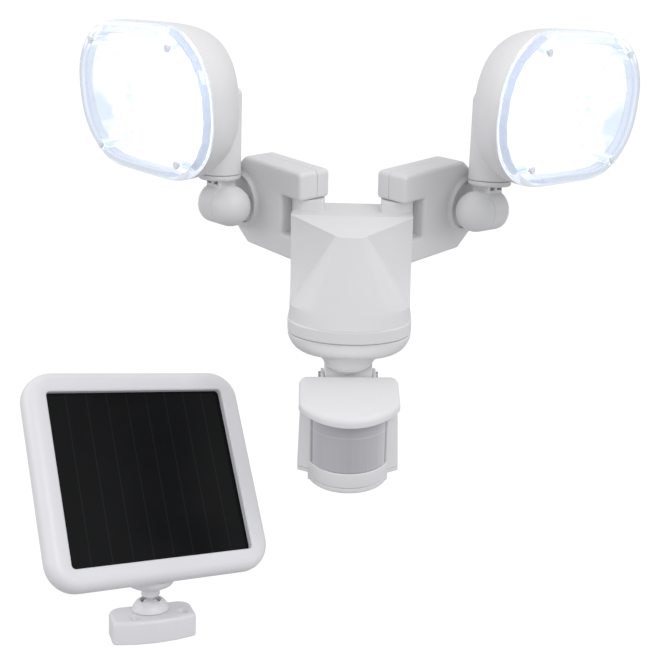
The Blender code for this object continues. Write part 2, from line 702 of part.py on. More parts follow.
def bowl_rings(inset, stop):
    """Sections of the bowl, from the rim back; it narrows sideways faster than in height."""
    rings = []
    for step in (0.0, 0.20, 0.40, 0.58, 0.74, 0.87, 0.96):
        if step * BOWL_DEPTH > stop:
            break
        share = 1 - step ** 1.8
        rings.append(lens_ring(RIM_Y + GAP + step * BOWL_DEPTH, inset, share, math.sqrt(share)))
    return rings


def make_heads(collection, frames):
    face = (turn_about("Z", LENS_TURN) @ Matrix.Translation((0, -LENS_REACH, LENS_RISE))
            @ turn_about("X", LENS_LEAN))
    front = RIM_Y - LENS_DEPTH
    screws = [(sx * LENS_SCREW_X, sz * LENS_SCREW_Z) for sx in (1, -1) for sz in (1, -1)]
    screw_end = front - GAP + LENS_SCREW_LENGTH

    bowl = placed(loft(bowl_rings(0.0, BOWL_DEPTH)), face)
    dome = [(STEM_R * math.cos(math.radians(a)),
             STEM_HEIGHT - STEM_R * 0.7 * (1 - math.sin(math.radians(a))))
            for a in (72, 54, 36, 18, 0)]
    stem = turned([(0, STEM_HEIGHT), *dome, (STEM_R, GAP / 2), (0, GAP / 2)], 32)
    hollow = placed(loft([lens_ring(RIM_Y - 2 * MM, BOWL_WALL)] + bowl_rings(BOWL_WALL,
                                                                             0.8 * BOWL_DEPTH)), face)
    socket = rod("z", -1 * MM, 8 * MM, (0, 0), STUB_R + GAP)
    lead_way = rod("z", 6 * MM, 40 * MM, (0, 0), 4 * MM, segments=16)
    lead_turn = rod("y", -26 * MM, 0, (0, 38 * MM), 3.4 * MM, segments=16)
    bosses = [placed(rod("y", LENS_BOSS_Y, 22 * MM, at, LENS_BOSS_R, segments=12), face) for at in screws]
    bores = [placed(rod("y", 0, screw_end + GAP, at, LENS_SCREW_R + GAP, segments=12),
                    face) for at in screws]
    housing = join(cut(join(bowl, stem), hollow, socket, lead_way, lead_turn), *bosses)
    housing = cut(housing, *bores)
    both_sides(housing, "head_housing", "white_plastic", collection, frames)

    wall = LENS_WALL
    outer = [lens_ring(RIM_Y), lens_ring(front + 4.5 * MM, 0.4 * MM),
             lens_ring(front + 1.5 * MM, 2.4 * MM),
             lens_ring(front, 6 * MM)]
    inner = [lens_ring(front + wall, 6 * MM + wall * 0.7), lens_ring(front + 3 * MM, 2.4 * MM + wall),
             lens_ring(RIM_Y + 1 * MM, wall + 0.3 * MM)]
    lens = cut(loft(outer), loft(inner))
    holes = [rod("y", front - 1 * MM, RIM_Y, at, LENS_SCREW_R + GAP, segments=12) for at in screws]
    both_sides(placed(cut(lens, *holes), face), "lens", "clear_plastic", collection, frames)

    low, high = front + 5.5 * MM, RIM_Y + 0.2 * MM
    seal = hoop([lens_ring(low, wall + 2.2 * MM), lens_ring(high, wall + 2.2 * MM),
                 lens_ring(high, wall + 3.0 * MM), lens_ring(low, wall + 3.0 * MM)])
    both_sides(placed(seal, face), "lens_seal", "rubber", collection, frames)

    lip, throat = RIM_Y + 0.5 * MM, LED_BOARD_Y - GAP
    reflector = hoop([lens_ring(lip, BOWL_WALL + 4 * MM), lens_ring(throat, BOWL_WALL + 14 * MM),
                      lens_ring(throat, BOWL_WALL + 15.4 * MM), lens_ring(lip, BOWL_WALL + 5.4 * MM)])
    clear = [rod("y", lip - 1 * MM, throat + 1 * MM, at, LENS_BOSS_R + GAP, segments=12) for at in screws]
    both_sides(placed(cut(reflector, *clear), face), "reflector", "mirror_plastic", collection, frames)

    board = loft([lens_ring(LED_BOARD_Y, BOWL_WALL + 12 * MM),
                  lens_ring(LED_BOARD_Y + 1.6 * MM, BOWL_WALL + 12 * MM)])
    clear = [rod("y", LED_BOARD_Y - 1 * MM, LED_BOARD_Y + 3 * MM, at, LENS_BOSS_R + GAP, segments=12)
             for at in screws]
    both_sides(placed(cut(board, *clear), face), "led_board", "led_board", collection, frames)

    names = ("outer_upper", "outer_lower", "inner_upper", "inner_lower")
    for label, at in zip(names, screws):
        screw = turned([(0, 0), (LENS_SCREW_R, 0), (LENS_SCREW_R, -LENS_SCREW_LENGTH),
                        (2.3 * MM, -LENS_SCREW_LENGTH), (2.3 * MM, -LENS_SCREW_LENGTH - 1.4 * MM),
                        (0, -LENS_SCREW_LENGTH - 1.4 * MM)], 12)
        turn = Matrix.Translation((at[0], front - GAP + LENS_SCREW_LENGTH, at[1])) @ turn_about("X", -90)
        both_sides(placed(placed(screw, turn), face), label + "_screw", "steel", collection, frames)


# ---------------------------------------------------------------- motion sensor


def hood_outline(inset=0.0):
    """Plan of the hood: straight sides and an arched front."""
    half, radius = SENSOR_HALF_WIDTH - inset, HOOD_R - inset
    slant = math.degrees(math.acos(half / radius))
    front = arc((0, HOOD_FRONT + HOOD_R), radius, slant - 180, -slant, 11)
    return [(half, SENSOR_BACK - inset), (-half, SENSOR_BACK - inset), *front]


def half_disc(radius, back):
    points = arc((0, EYE_CENTRE_Y), radius, -180, 0, 15)
    inside = [point for point in points if point[1] < back]
    reach = math.sqrt(max(radius ** 2 - (back - EYE_CENTRE_Y) ** 2, 0)) if back < EYE_CENTRE_Y else radius
    return [(reach, back), (-reach, back), *inside]


def make_sensor(collection, pan, tilt):
    neck_top = SENSOR_AXIS_DROP - GAP
    neck = rod("z", neck_top - 1.6 * MM, neck_top, (0, 0), NECK_R - 1.2 * MM, segments=32)
    post = rod("z", 0, neck_top - 3 * MM, (0, 0), BLOCK_R - 0.6 * MM)
    block = rod("x", -BLOCK_HALF_WIDTH, BLOCK_HALF_WIDTH, (0, 0), BLOCK_R, segments=28)
    stub = rod("z", neck_top - 1 * MM, neck_top + 7 * MM, (0, 0), 8.9 * MM)
    bore = rod("x", -BLOCK_HALF_WIDTH - 1 * MM, BLOCK_HALF_WIDTH + 1 * MM, (0, 0), 2.7 * MM, segments=16)
    lead = rod("z", 4 * MM, neck_top + 8 * MM, (0, 0), 4 * MM, segments=16)
    single(cut(join(block, post, neck, stub), bore, lead), "sensor_neck", "white_plastic", collection,
           pan)
    ring_low = neck_top + BODY_WALL + 2 * GAP
    ring = cut(rod("z", ring_low, ring_low + 2 * MM, (0, 0), 12 * MM),
               rod("z", ring_low - 1 * MM, ring_low + 3 * MM, (0, 0), 8.9 * MM + GAP))
    single(ring, "neck_retainer", "steel", collection, pan)

    hood = level_plate(hood_outline(), HOOD_BOTTOM, HOOD_BACK_Z + 12 * MM)
    slope = Vector((0, (HOOD_FRONT_Z - HOOD_BACK_Z) / (SENSOR_BACK - HOOD_FRONT), 1)).normalized()
    hood = sliced(hood, Vector((0, SENSOR_BACK, HOOD_BACK_Z)), slope)
    hood = bevelled(hood, 2.4 * MM, 2, 40)
    inside = level_plate(hood_outline(SENSOR_WALL), HOOD_BOTTOM - 1 * MM, HOOD_BACK_Z + 12 * MM)
    inside = sliced(inside, Vector((0, SENSOR_BACK, HOOD_BACK_Z - SENSOR_WALL)), slope)
    ears = []
    for side in (1, -1):
        ends = sorted((side * (BLOCK_HALF_WIDTH + GAP), side * (BLOCK_HALF_WIDTH + GAP + EAR_WIDTH)))
        eye = rod("x", ends[0], ends[1], (0, 0), 6.5 * MM)
        arm = box((ends[0], SENSOR_BACK - 3 * MM, -6.5 * MM), (ends[1], 0, 2 * MM))
        ears.append(join(eye, arm))
    hood = cut(hood, inside)
    hood = join(hood, *ears)
    reach = BLOCK_HALF_WIDTH + GAP + EAR_WIDTH + 1 * MM
    hood = cut(hood, rod("x", -reach, reach, (0, 0), 2.7 * MM, segments=16))
    single(hood, "sensor_hood", "white_plastic", collection, tilt)
    pin = rod("x", -reach + 0.6 * MM, reach - 0.6 * MM, (0, 0), 2.4 * MM, segments=16)
    single(pin, "sensor_pivot_pin", "steel", collection, tilt)

    half, wall, top = SENSOR_HALF_WIDTH, SENSOR_WALL, HOOD_BOTTOM - GAP
    case = box((-half, WING_Y, WING_SEAM), (half, SENSOR_BACK, top))
    chin = level_plate(half_disc(EYE_R + 0.2 * MM, WING_Y + 3 * MM), WING_SEAM + 0.6 * MM,
                       EYE_BOTTOM - GAP)
    skirt = level_plate(half_disc(EYE_R + 0.2 * MM, WING_Y - GAP), BAND_SEAM, EYE_BOTTOM - 2 * MM)
    case = join(bevelled(case, 0.8 * MM, 1), chin, skirt)
    room = box((-half + wall, WING_Y + wall, WING_SEAM + wall),
               (half - wall, SENSOR_BACK - wall, top + 1 * MM))
    window = box((-EYE_R + 3.2 * MM, WING_Y - 1 * MM, EYE_BOTTOM),
                 (EYE_R - 3.2 * MM, WING_Y + 4 * MM, top + 1 * MM))
    single(cut(case, room, window), "sensor_case", "white_plastic", collection, tilt)

    wings = box((-half, WING_Y, WING_BOTTOM), (half, SENSOR_BACK, WING_SEAM - GAP))
    keel = box((-EYE_R + 3 * MM, WING_Y - 0.1 * MM, BASE_BOTTOM),
               (EYE_R - 3 * MM, SENSOR_BACK - 3 * MM, WING_SEAM - 1 * MM))
    foot = level_plate(half_disc(EYE_R + 0.2 * MM, WING_Y + 2 * MM), BASE_BOTTOM, BAND_SEAM - GAP)
    controls = {"time_dial": (-10 * MM, -36 * MM), "range_dial": (10 * MM, -36 * MM)}
    pockets = [rod("z", BASE_BOTTOM - 1 * MM, BASE_BOTTOM + 3 * MM, at,
                   4.8 * MM) for at in controls.values()]
    pockets.append(box((-6 * MM, -25 * MM, BASE_BOTTOM - 1 * MM),
                       (6 * MM, -20 * MM, BASE_BOTTOM + 3 * MM)))
    single(cut(join(bevelled(wings, 0.8 * MM, 1), keel, foot), *pockets), "sensor_base", "white_plastic",
           collection, tilt)
    for name, at in controls.items():
        frame = Frame(name + "_axis", Matrix.Translation((at[0], at[1], BASE_BOTTOM)), tilt)
        dial = rod("z", -0.4 * MM, 2.7 * MM, (0, 0), 4.4 * MM)
        slot = box((-3.2 * MM, -0.5 * MM, -1 * MM), (3.2 * MM, 0.5 * MM, 0.5 * MM))
        single(cut(dial, slot), name, "white_plastic", collection, frame)
    slider_frame = Frame("mode_switch_slide", Matrix.Translation((-3 * MM, -22.5 * MM, BASE_BOTTOM)),
                         tilt)
    slider = box((-2 * MM, -2.1 * MM, -1 * MM), (2 * MM, 2.1 * MM, 2.7 * MM))
    single(bevelled(slider, 0.4 * MM, 1), "mode_switch", "rubber", collection, slider_frame)

    eye_low = EYE_BOTTOM + GAP
    outside = [(x, y) for x, y in arc((0, EYE_CENTRE_Y), EYE_R, -158, -22, 15)]
    inside = [(x, y) for x, y in arc((0, EYE_CENTRE_Y), EYE_R - EYE_WALL, -22, -158, 15)]
    single(level_plate(outside + inside, eye_low, top - GAP), "sensor_lens", "frosted_plastic",
           collection, tilt)
    board = box((-20 * MM, SENSOR_BACK - 9 * MM, WING_SEAM + 6 * MM),
                (20 * MM, SENSOR_BACK - 7.4 * MM, top - 3 * MM))
    eye = rod("y", SENSOR_BACK - 13 * MM, SENSOR_BACK - 8 * MM, (0, -30 * MM), 4.6 * MM)
    single(join(board, eye), "sensor_board", "circuit_board", collection, tilt)


# ---------------------------------------------------------------- solar panel


def make_panel(collection, foot, pan, tilt, spin, panel):
    body = foot_block()
    socket_floor = -BALL_R - 2.6 * MM + BALL_LIFT
    cutters = [rod("z", socket_floor - GAP, 2 * MM, (0, 0), BALL_R + 2.4 * MM)]
    for at in ((-12.5 * MM, -13.5 * MM), (19.5 * MM, -10.5 * MM)):
        cutters.append(rod("z", -FOOT_THICKNESS - 1 * MM, 1 * MM, at, 2.3 * MM, segments=20))
        cutters.append(rod("z", -3.2 * MM, 0.6 * MM, at, 2.3 * MM, 4.6 * MM, 20))
    single(cut(body, *cutters), "panel_foot", "panel_plastic", collection, foot)
    collar = turned([(7.4 * MM, 6.6 * MM), (9.6 * MM, 5.5 * MM), (11.4 * MM, 3.2 * MM), (12.1 * MM, GAP),
                     (8.9 * MM, GAP), (8.1 * MM, 2.4 * MM), (6.9 * MM, 4.4 * MM), (6.9 * MM, 6.4 * MM)],
                     32)
    single(collar, "ball_collar", "panel_plastic", collection, foot)

    seat_r = BALL_R + GAP
    seat = [(seat_r * math.cos(math.radians(a)), seat_r * math.sin(math.radians(a))) for a in (0, -18,
                                                                                               -36, -54,
                                                                                               -72)]
    cup = turned([(BALL_R + 2.1 * MM, 0.4 * MM), (BALL_R + 2.1 * MM, -BALL_R - 2.6 * MM),
                  (0, -BALL_R - 2.6 * MM),
                  (0, -seat_r), *reversed(seat), (seat_r, 0.4 * MM)], 24)
    single(cup, "ball_cup", "rubber", collection, pan)
    ball = turned([(0, BALL_R)] + [(BALL_R * math.cos(math.radians(a)),
                                    BALL_R * math.sin(math.radians(a)))
                                   for a in (72, 54, 36, 18, 0, -18, -36, -54, -72)] + [(0, -BALL_R)], 24)
    ball = cut(ball, rod("z", -5 * MM, BALL_R + 1 * MM, (0, 0), 3.0 * MM, segments=16))
    single(ball, "panel_ball", "panel_plastic", collection, tilt)
    stem = turned([(0, STEM_LENGTH), (PANEL_STEM_R - 1.2 * MM, STEM_LENGTH), (PANEL_STEM_R, 11 * MM),
                   (5.0 * MM, 10.4 * MM), (3.2 * MM, 9.6 * MM), (2.7 * MM, 8 * MM), (2.7 * MM, -4.6 * MM),
                   (0, -4.6 * MM)], 20)
    single(stem, "panel_stem", "panel_plastic", collection, spin)

    def section(y, inset, radius=PANEL_CORNER_R):
        outline = rounded_rectangle(PANEL_WIDTH - 2 * inset, PANEL_HEIGHT - 2 * inset, radius - inset, 7)
        return [(x, y, z) for x, z in outline]

    front, back = -BEZEL_DEPTH, FRAME_DEPTH - BEZEL_DEPTH
    bezel = loft([section(front, 6 * MM), section(front + 1.2 * MM, 2.2 * MM),
                  section(front + 4 * MM, 0.3 * MM),
                  section(back - 2 * MM, 0), section(back, 0.8 * MM)])
    window = plate(rounded_rectangle(WINDOW_WIDTH, WINDOW_HEIGHT, 4 * MM, 4), front - 1 * MM, 1 * MM)
    rebate = plate(rounded_rectangle(WINDOW_WIDTH + 7 * MM, WINDOW_HEIGHT + 7 * MM, 5 * MM, 4), -0.1 * MM,
                   back + 1 * MM)
    single(cut(bezel, window, rebate), "panel_frame", "panel_plastic", collection, panel)
    cell = plate(rounded_rectangle(WINDOW_WIDTH + 6 * MM, WINDOW_HEIGHT + 6 * MM, 4.5 * MM, 4), 0.2 * MM,
                 0.2 * MM + CELL_DEPTH)
    single(cell, "solar_cell", "solar_cell", collection, panel)

    low = back + GAP
    tray = loft([section(low, 1.5 * MM), section(low + 5 * MM, 4 * MM),
                 section(low + 10 * MM, 12 * MM, 24 * MM),
                 section(low + PANEL_BACK_DEPTH, 19 * MM, 26 * MM)])
    room = loft([section(low - 1 * MM, 4 * MM), section(low + 4 * MM, 6.4 * MM),
                 section(low + 9 * MM, 14.4 * MM, 24 * MM),
                 section(low + PANEL_BACK_DEPTH - PANEL_WALL, 21 * MM, 26 * MM)])
    tray = cut(tray, room)
    to_panel = panel.world.inverted() @ spin.world
    boss = placed(rod("z", STEM_LENGTH - 7 * MM, STEM_LENGTH + 16 * MM, (0, 0), 10.5 * MM, 13.5 * MM, 28),
                  to_panel)
    boss = sliced(boss, Vector((0, low + 0.2 * MM, 0)), Vector((0, -1, 0)))
    tray = join(tray, boss)
    tray = cut(tray, placed(rod("z", STEM_LENGTH - 20 * MM, STEM_LENGTH + GAP, (0, 0),
                                PANEL_STEM_R + GAP), to_panel))
    single(tray, "panel_back", "panel_plastic", collection, panel)


def foot_block():
    half, back = FOOT_HALF_WIDTH, 9.0 * MM
    outline = [(half - 9 * MM, back), *arc((half - 9 * MM, back - 9 * MM), 9 * MM, 80, 0, 5)]
    outline += [(half, -17 * MM), (half * 0.5, -20.6 * MM), (0, -21.8 * MM), (-half * 0.5, -20.6 * MM),
                (-half, -17 * MM)]
    outline += [*arc((9 * MM - half, back - 9 * MM), 9 * MM, 180, 100, 5), (9 * MM - half, back)]
    return bevelled(level_plate(outline, -FOOT_THICKNESS, 0), 1.6 * MM, 2, 40)


# ---------------------------------------------------------------- assembly


def make_frames():
    arm = mirrored_frames("arm_hinge", lambda side: Matrix.Translation((side * HINGE_X, HINGE_Y, 0))
                          @ turn_about("Z", side * ARM_REST_ANGLE))
    reach = -(ARM_FRONT + KNUCKLE_STANDOFF)
    roll = mirrored_frames("knuckle_roll", lambda side: Matrix.Translation((side * HUB_X, reach, HUB_Z))
                           @ turn_about("Y", -RIGHT_REST_ROLL if side > 0 else LEFT_REST_ROLL), arm)
    tilt = mirrored_frames("knuckle_tilt", lambda side: turn_about("X", KNUCKLE_REST_TILT), roll)
    swivel = mirrored_frames("head_swivel", lambda side: Matrix.Translation((0, 0, FLANGE_Z)), tilt)
    return arm, roll, tilt, swivel


def make_sensor_frames():
    neck_z = SEAM_Z - GAP - NECK_DROP
    place = Matrix.Translation((0, NECK_Y, neck_z - SENSOR_AXIS_DROP)) @ turn_about("Z", SENSOR_REST_PAN)
    pan = Frame("sensor_pan", place)
    return pan, Frame("sensor_tilt", Matrix.Identity(4), pan)


def make_panel_frames():
    foot = Frame("panel_foot_top", Matrix.Translation(FOOT_TOP) @ turn_about("X",
                                                                             FOOT_LEAN) @ turn_about("Z",
                                                                                                     FOOT_TURN))
    pan = Frame("panel_pan", Matrix.Translation((0, 0, BALL_LIFT)), foot)
    tilt = Frame("panel_tilt", Matrix.Identity(4), pan)
    spin = Frame("panel_spin", Matrix.Identity(4), tilt)
    facing = turn_about("Y", PANEL_ROLL) @ turn_about("X", PANEL_LEAN) @ turn_about("Z", PANEL_TURN)
    world = Matrix.Translation(PANEL_CENTRE) @ facing
    panel = Frame("panel_face", spin.world.inverted() @ world, spin)
    return foot, pan, tilt, spin, panel


def main():
    clear_scene()
    collection = make_collection()
    arm, roll, tilt, swivel = make_frames()
    pan_frame, sensor_frame = make_sensor_frames()
    make_wall_plate(collection)
    make_housing(collection)
    make_battery_cover(collection)
    make_inner_pieces(collection)
    make_arms(collection, arm)
    make_knuckles(collection, roll, tilt)
    make_heads(collection, swivel)
    make_sensor(collection, pan_frame, sensor_frame)
    make_panel(collection, *make_panel_frames())


main()
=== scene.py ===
"""Twin-head solar flood light: its looks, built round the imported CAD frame."""

import json
import math

import bmesh
import bpy
import numpy as np
from mathutils import Matrix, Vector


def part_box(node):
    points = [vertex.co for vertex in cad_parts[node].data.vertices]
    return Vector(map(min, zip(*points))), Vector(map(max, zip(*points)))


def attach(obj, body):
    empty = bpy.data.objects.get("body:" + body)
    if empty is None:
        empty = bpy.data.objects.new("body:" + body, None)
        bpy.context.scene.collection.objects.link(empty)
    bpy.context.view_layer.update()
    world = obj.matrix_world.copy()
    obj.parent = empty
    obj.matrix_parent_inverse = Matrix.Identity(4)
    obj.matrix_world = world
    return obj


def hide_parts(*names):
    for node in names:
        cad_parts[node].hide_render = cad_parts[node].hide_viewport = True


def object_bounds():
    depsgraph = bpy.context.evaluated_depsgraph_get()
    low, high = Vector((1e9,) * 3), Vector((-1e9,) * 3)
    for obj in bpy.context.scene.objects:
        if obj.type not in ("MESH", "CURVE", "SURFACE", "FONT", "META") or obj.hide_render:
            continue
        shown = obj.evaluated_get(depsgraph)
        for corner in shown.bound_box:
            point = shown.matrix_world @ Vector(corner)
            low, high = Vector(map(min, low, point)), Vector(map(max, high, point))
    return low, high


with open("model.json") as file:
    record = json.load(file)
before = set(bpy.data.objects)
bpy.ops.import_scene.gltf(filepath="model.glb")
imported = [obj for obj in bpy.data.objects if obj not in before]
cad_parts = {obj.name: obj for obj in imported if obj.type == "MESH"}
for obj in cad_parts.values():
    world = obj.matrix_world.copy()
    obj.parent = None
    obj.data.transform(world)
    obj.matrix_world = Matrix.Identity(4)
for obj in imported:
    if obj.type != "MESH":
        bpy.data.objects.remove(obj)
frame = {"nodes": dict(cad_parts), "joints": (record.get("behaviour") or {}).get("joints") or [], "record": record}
cad_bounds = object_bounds()

# ------------------------------------------------------------------ stage, light and camera
# A white studio sweep: a pale floor below the lamp, a white surround, one large soft lamp high in
# front on the right and a weaker one on the left, and a camera a little above the lamp's middle.
MM = 0.001
CAMERA_PLACE = (0.00897, -0.71414, 0.23282)
CAMERA_LENS = 60.03
CAMERA_PITCH, CAMERA_YAW, CAMERA_ROLL = 22.07, -1.84, 0.97
FLOOR_DROP, FLOOR_SIZE = 0.42, 40
SHOWN_WHITE = 1.05
GLOW_FRONT, GLOW_SIDES, GLOW_CLIMB, GLOW_BELOW = 0.60, 0.52, 0.10, 0.50


def colour(code):
    """An sRGB hex code as linear red, green, blue and alpha."""
    parts = np.array([int(code[i:i + 2], 16) for i in (1, 3, 5)]) / 255
    linear = np.where(parts <= 0.04045, parts / 12.92, ((parts + 0.055) / 1.055) ** 2.4)
    return (*linear.tolist(), 1.0)


def add_node(tree, kind, inputs=None, **settings):
    """Adds a node. Settings go to its properties or sockets by name; inputs are links or values by socket."""
    node = tree.nodes.new(kind)
    for key, value in settings.items():
        if hasattr(node, key):
            setattr(node, key, value)
        else:
            socket = key.replace("_", " ").lower()
            [item for item in node.inputs if item.name.lower() == socket][0].default_value = value
    for key, value in (inputs or {}).items():
        if isinstance(value, bpy.types.NodeSocket):
            tree.links.new(value, node.inputs[key])
        else:
            node.inputs[key].default_value = value
    return node


def blank_material(name):
    material = bpy.data.materials.new(name)
    material.use_nodes = True
    material.node_tree.nodes.clear()
    return material, material.node_tree


world = bpy.data.worlds.new("white_surround")
bpy.context.scene.world = world
world.use_nodes = True
world.node_tree.nodes.clear()
sky = world.node_tree
heading = add_node(sky, "ShaderNodeTexCoord").outputs["Generated"]
split = add_node(sky, "ShaderNodeSeparateXYZ", {0: heading})
sideways = add_node(sky, "ShaderNodeMath", {0: split.outputs["X"]}, operation="ABSOLUTE")
level = add_node(sky, "ShaderNodeMath", {0: sideways.outputs[0], 1: GLOW_SIDES, 2: GLOW_FRONT},
                 operation="MULTIPLY_ADD")
climb = add_node(sky, "ShaderNodeMath", {0: split.outputs["Z"], 1: GLOW_CLIMB, 2: level.outputs[0]},
                 operation="MULTIPLY_ADD")
lit = add_node(sky, "ShaderNodeBackground", {"Strength": climb.outputs[0]}, Color=colour("#fcfcfe"))
seen = add_node(sky, "ShaderNodeBackground", Color=(1, 1, 1, 1), Strength=SHOWN_WHITE)
ray = add_node(sky, "ShaderNodeLightPath")
both = add_node(sky, "ShaderNodeMixShader",
                {0: ray.outputs["Is Camera Ray"], 1: lit.outputs[0], 2: seen.outputs[0]})
add_node(sky, "ShaderNodeOutputWorld", {0: both.outputs[0]})

bpy.ops.mesh.primitive_plane_add(size=FLOOR_SIZE, location=(0, 0, cad_bounds[0][2] - FLOOR_DROP))
floor = bpy.context.object
floor.name = "floor"
paper, paper_tree = blank_material("white_paper")
bounce = add_node(paper_tree, "ShaderNodeEmission", Color=colour("#fcfcfe"), Strength=GLOW_BELOW)
glow = add_node(paper_tree, "ShaderNodeEmission", Color=(1, 1, 1, 1), Strength=SHOWN_WHITE)
looking = add_node(paper_tree, "ShaderNodeLightPath")
paper_mix = add_node(paper_tree, "ShaderNodeMixShader",
                     {0: looking.outputs["Is Camera Ray"], 1: bounce.outputs[0], 2: glow.outputs[0]})
add_node(paper_tree, "ShaderNodeOutputMaterial", {0: paper_mix.outputs[0]})
floor.data.materials.append(paper)


def soft_lamp(name, place, size, power):
    light = bpy.data.lights.new(name, "AREA")
    light.size = size
    light.energy = power
    lamp = bpy.data.objects.new(name, light)
    lamp.location = place
    lamp.rotation_euler = (-lamp.location).to_track_quat("-Z", "Y").to_euler()
    bpy.context.scene.collection.objects.link(lamp)


soft_lamp("key_light", (0.9, -1.1, 1.4), 0.8, 9.0)
soft_lamp("side_light", (-1.4, -0.5, 0.7), 0.8, 3.0)

pitch, yaw, roll = (math.radians(angle) for angle in (CAMERA_PITCH, CAMERA_YAW, CAMERA_ROLL))
ahead = np.array((math.sin(yaw) * math.cos(pitch), math.cos(yaw) * math.cos(pitch), -math.sin(pitch)))
down = np.array((-math.sin(yaw) * math.sin(pitch), -math.cos(yaw) * math.sin(pitch), -math.cos(pitch)))
across = np.array((math.cos(yaw), -math.sin(yaw), 0.0))
camera = bpy.data.objects.new("camera", bpy.data.cameras.new("camera"))
camera.data.lens = CAMERA_LENS
camera_x = math.cos(roll) * across - math.sin(roll) * down
camera_y = -(math.sin(roll) * across + math.cos(roll) * down)
turn = Matrix(np.stack([camera_x, camera_y, -ahead], axis=1).tolist()).to_4x4()
camera.matrix_world = Matrix.Translation(CAMERA_PLACE) @ turn
bpy.context.scene.collection.objects.link(camera)
bpy.context.scene.camera = camera
bpy.context.scene.view_settings.view_transform = "Standard"

# ------------------------------------------------------------------ lamp housing
# Injection-moulded ABS box with a faceted front, screwed over the wall plate. Its spark-eroded
# mould leaves a fine satin grain. Two pads on the roof fill the throats of the arms.
HOUSING_HALF, HOUSING_BAND, BAND_DEPTH, BAND_RISE = 39.0, 40.3, 25.9, 9.0
joint = {entry["name"]: entry for entry in frame["joints"]}
NECK_Y = joint["sensor_pan"]["pos_m"][1] / MM
SEAM_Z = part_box("housing")[0][2] / MM
BACK_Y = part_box("housing")[1][1] / MM
ROOF_Z, APEX_Z, APEX_HALF, FRONT_EDGE_Y, VALLEY_Z = 37.0, 30.0, 10.0, -37.6, -18.0
PAD_REACH, PAD_TOP = 9.1, 44.2
NOTCH_REACH, NOTCH_LOW, NOTCH_HIGH = 16.4, 2.5, 19.5
HINGE = np.array(joint["right_arm_swing"]["pos_m"]) / MM


def moulded(name, light, dark, roughness, grain=0.35, relief=0.02):
    """ABS straight from a textured mould: almost even colour, a satin sheen and a fine pebbled grain."""
    material, tree = blank_material(name)
    place = add_node(tree, "ShaderNodeTexCoord").outputs["Object"]
    cloudy = add_node(tree, "ShaderNodeTexNoise", {"Vector": place}, Scale=1 / (60 * MM), Detail=3.0)
    shade = add_node(tree, "ShaderNodeValToRGB", {"Fac": cloudy.outputs["Fac"]})
    for stop, place_on_ramp, code in zip(shade.color_ramp.elements, (0.3, 0.7), (dark, light)):
        stop.position, stop.color = place_on_ramp, colour(code)
    pebble = add_node(tree, "ShaderNodeTexNoise", {"Vector": place}, Scale=1 / (grain * MM), Detail=2.0)
    polish = add_node(tree, "ShaderNodeMapRange",
                      {"Value": cloudy.outputs["Fac"], "To Min": roughness, "To Max": roughness + 0.08})
    bump = add_node(tree, "ShaderNodeBump", {"Height": pebble.outputs["Fac"]}, Strength=0.25,
                    Distance=relief * MM)
    shader = add_node(tree, "ShaderNodeBsdfPrincipled",
                      {"Base Color": shade.outputs["Color"], "Roughness": polish.outputs["Result"],
                       "Normal": bump.outputs["Normal"]}, IOR=1.53)
    add_node(tree, "ShaderNodeOutputMaterial", {0: shader.outputs[0]})
    return material


white_abs = moulded("white_abs", "#e5e5e6", "#e1e1e2", 0.42)


def loop_normals(outline):
    """Outward unit normals of a closed outline, whichever way round it runs."""
    along = np.roll(outline, -1, axis=0) - np.roll(outline, 1, axis=0)
    along /= np.maximum(np.linalg.norm(along, axis=1, keepdims=True), 1e-9)
    x, z = outline.T
    turning = np.sign(np.sum(x * np.roll(z, -1) - np.roll(x, -1) * z))
    return turning * np.stack([along[:, 1], -along[:, 0]], axis=1)


def inset(outline, amount):
    return outline - amount * loop_normals(outline)


def sheet_of_quads(points, ring=False):
    """Quads over rows of points, each row closed on itself. The rows close too, or their ends are capped."""
    rows, count = points.shape[:2]
    index = np.arange(rows * count).reshape(rows, count)
    below = np.vstack([index, index[:1]]) if ring else index
    beside = np.roll(below, -1, axis=1)
    quads = np.stack([below[:-1], beside[:-1], beside[1:], below[1:]], axis=-1).reshape(-1, 4).tolist()
    return points.reshape(-1, 3), quads if ring else quads + [index[0][::-1].tolist(), index[-1].tolist()]


def solid(points, faces):
    """A closed work piece in metres from points in millimetres, its faces turned outwards."""
    mesh = bpy.data.meshes.new("work")
    mesh.from_pydata((np.asarray(points) * MM).tolist(), [], faces)
    shape = bmesh.new()
    shape.from_mesh(mesh)
    bmesh.ops.remove_doubles(shape, verts=shape.verts, dist=0.002 * MM)
    bmesh.ops.dissolve_degenerate(shape, edges=shape.edges, dist=0.001 * MM)
    bmesh.ops.recalc_face_normals(shape, faces=shape.faces)
    shape.to_mesh(mesh)
    shape.free()
    piece = bpy.data.objects.new("work", mesh)
    bpy.context.scene.collection.objects.link(piece)
    return piece


def combined(piece, tools, operation):
    """The piece after Boolean cuts or joins with the tools, which are used up."""
    for tool in tools:
        step = piece.modifiers.new("step", "BOOLEAN")
        step.operation, step.solver, step.object = operation, "EXACT", tool
    mesh = bpy.data.meshes.new_from_object(piece.evaluated_get(bpy.context.evaluated_depsgraph_get()))
    for used in (piece, *tools):
        bpy.data.objects.remove(used, do_unlink=True)
    result = bpy.data.objects.new("work", mesh)
    bpy.context.scene.collection.objects.link(result)
    return result


def carved(piece, *tools):
    return combined(piece, tools, "DIFFERENCE")


def fused(piece, *tools):
    return combined(piece, tools, "UNION")


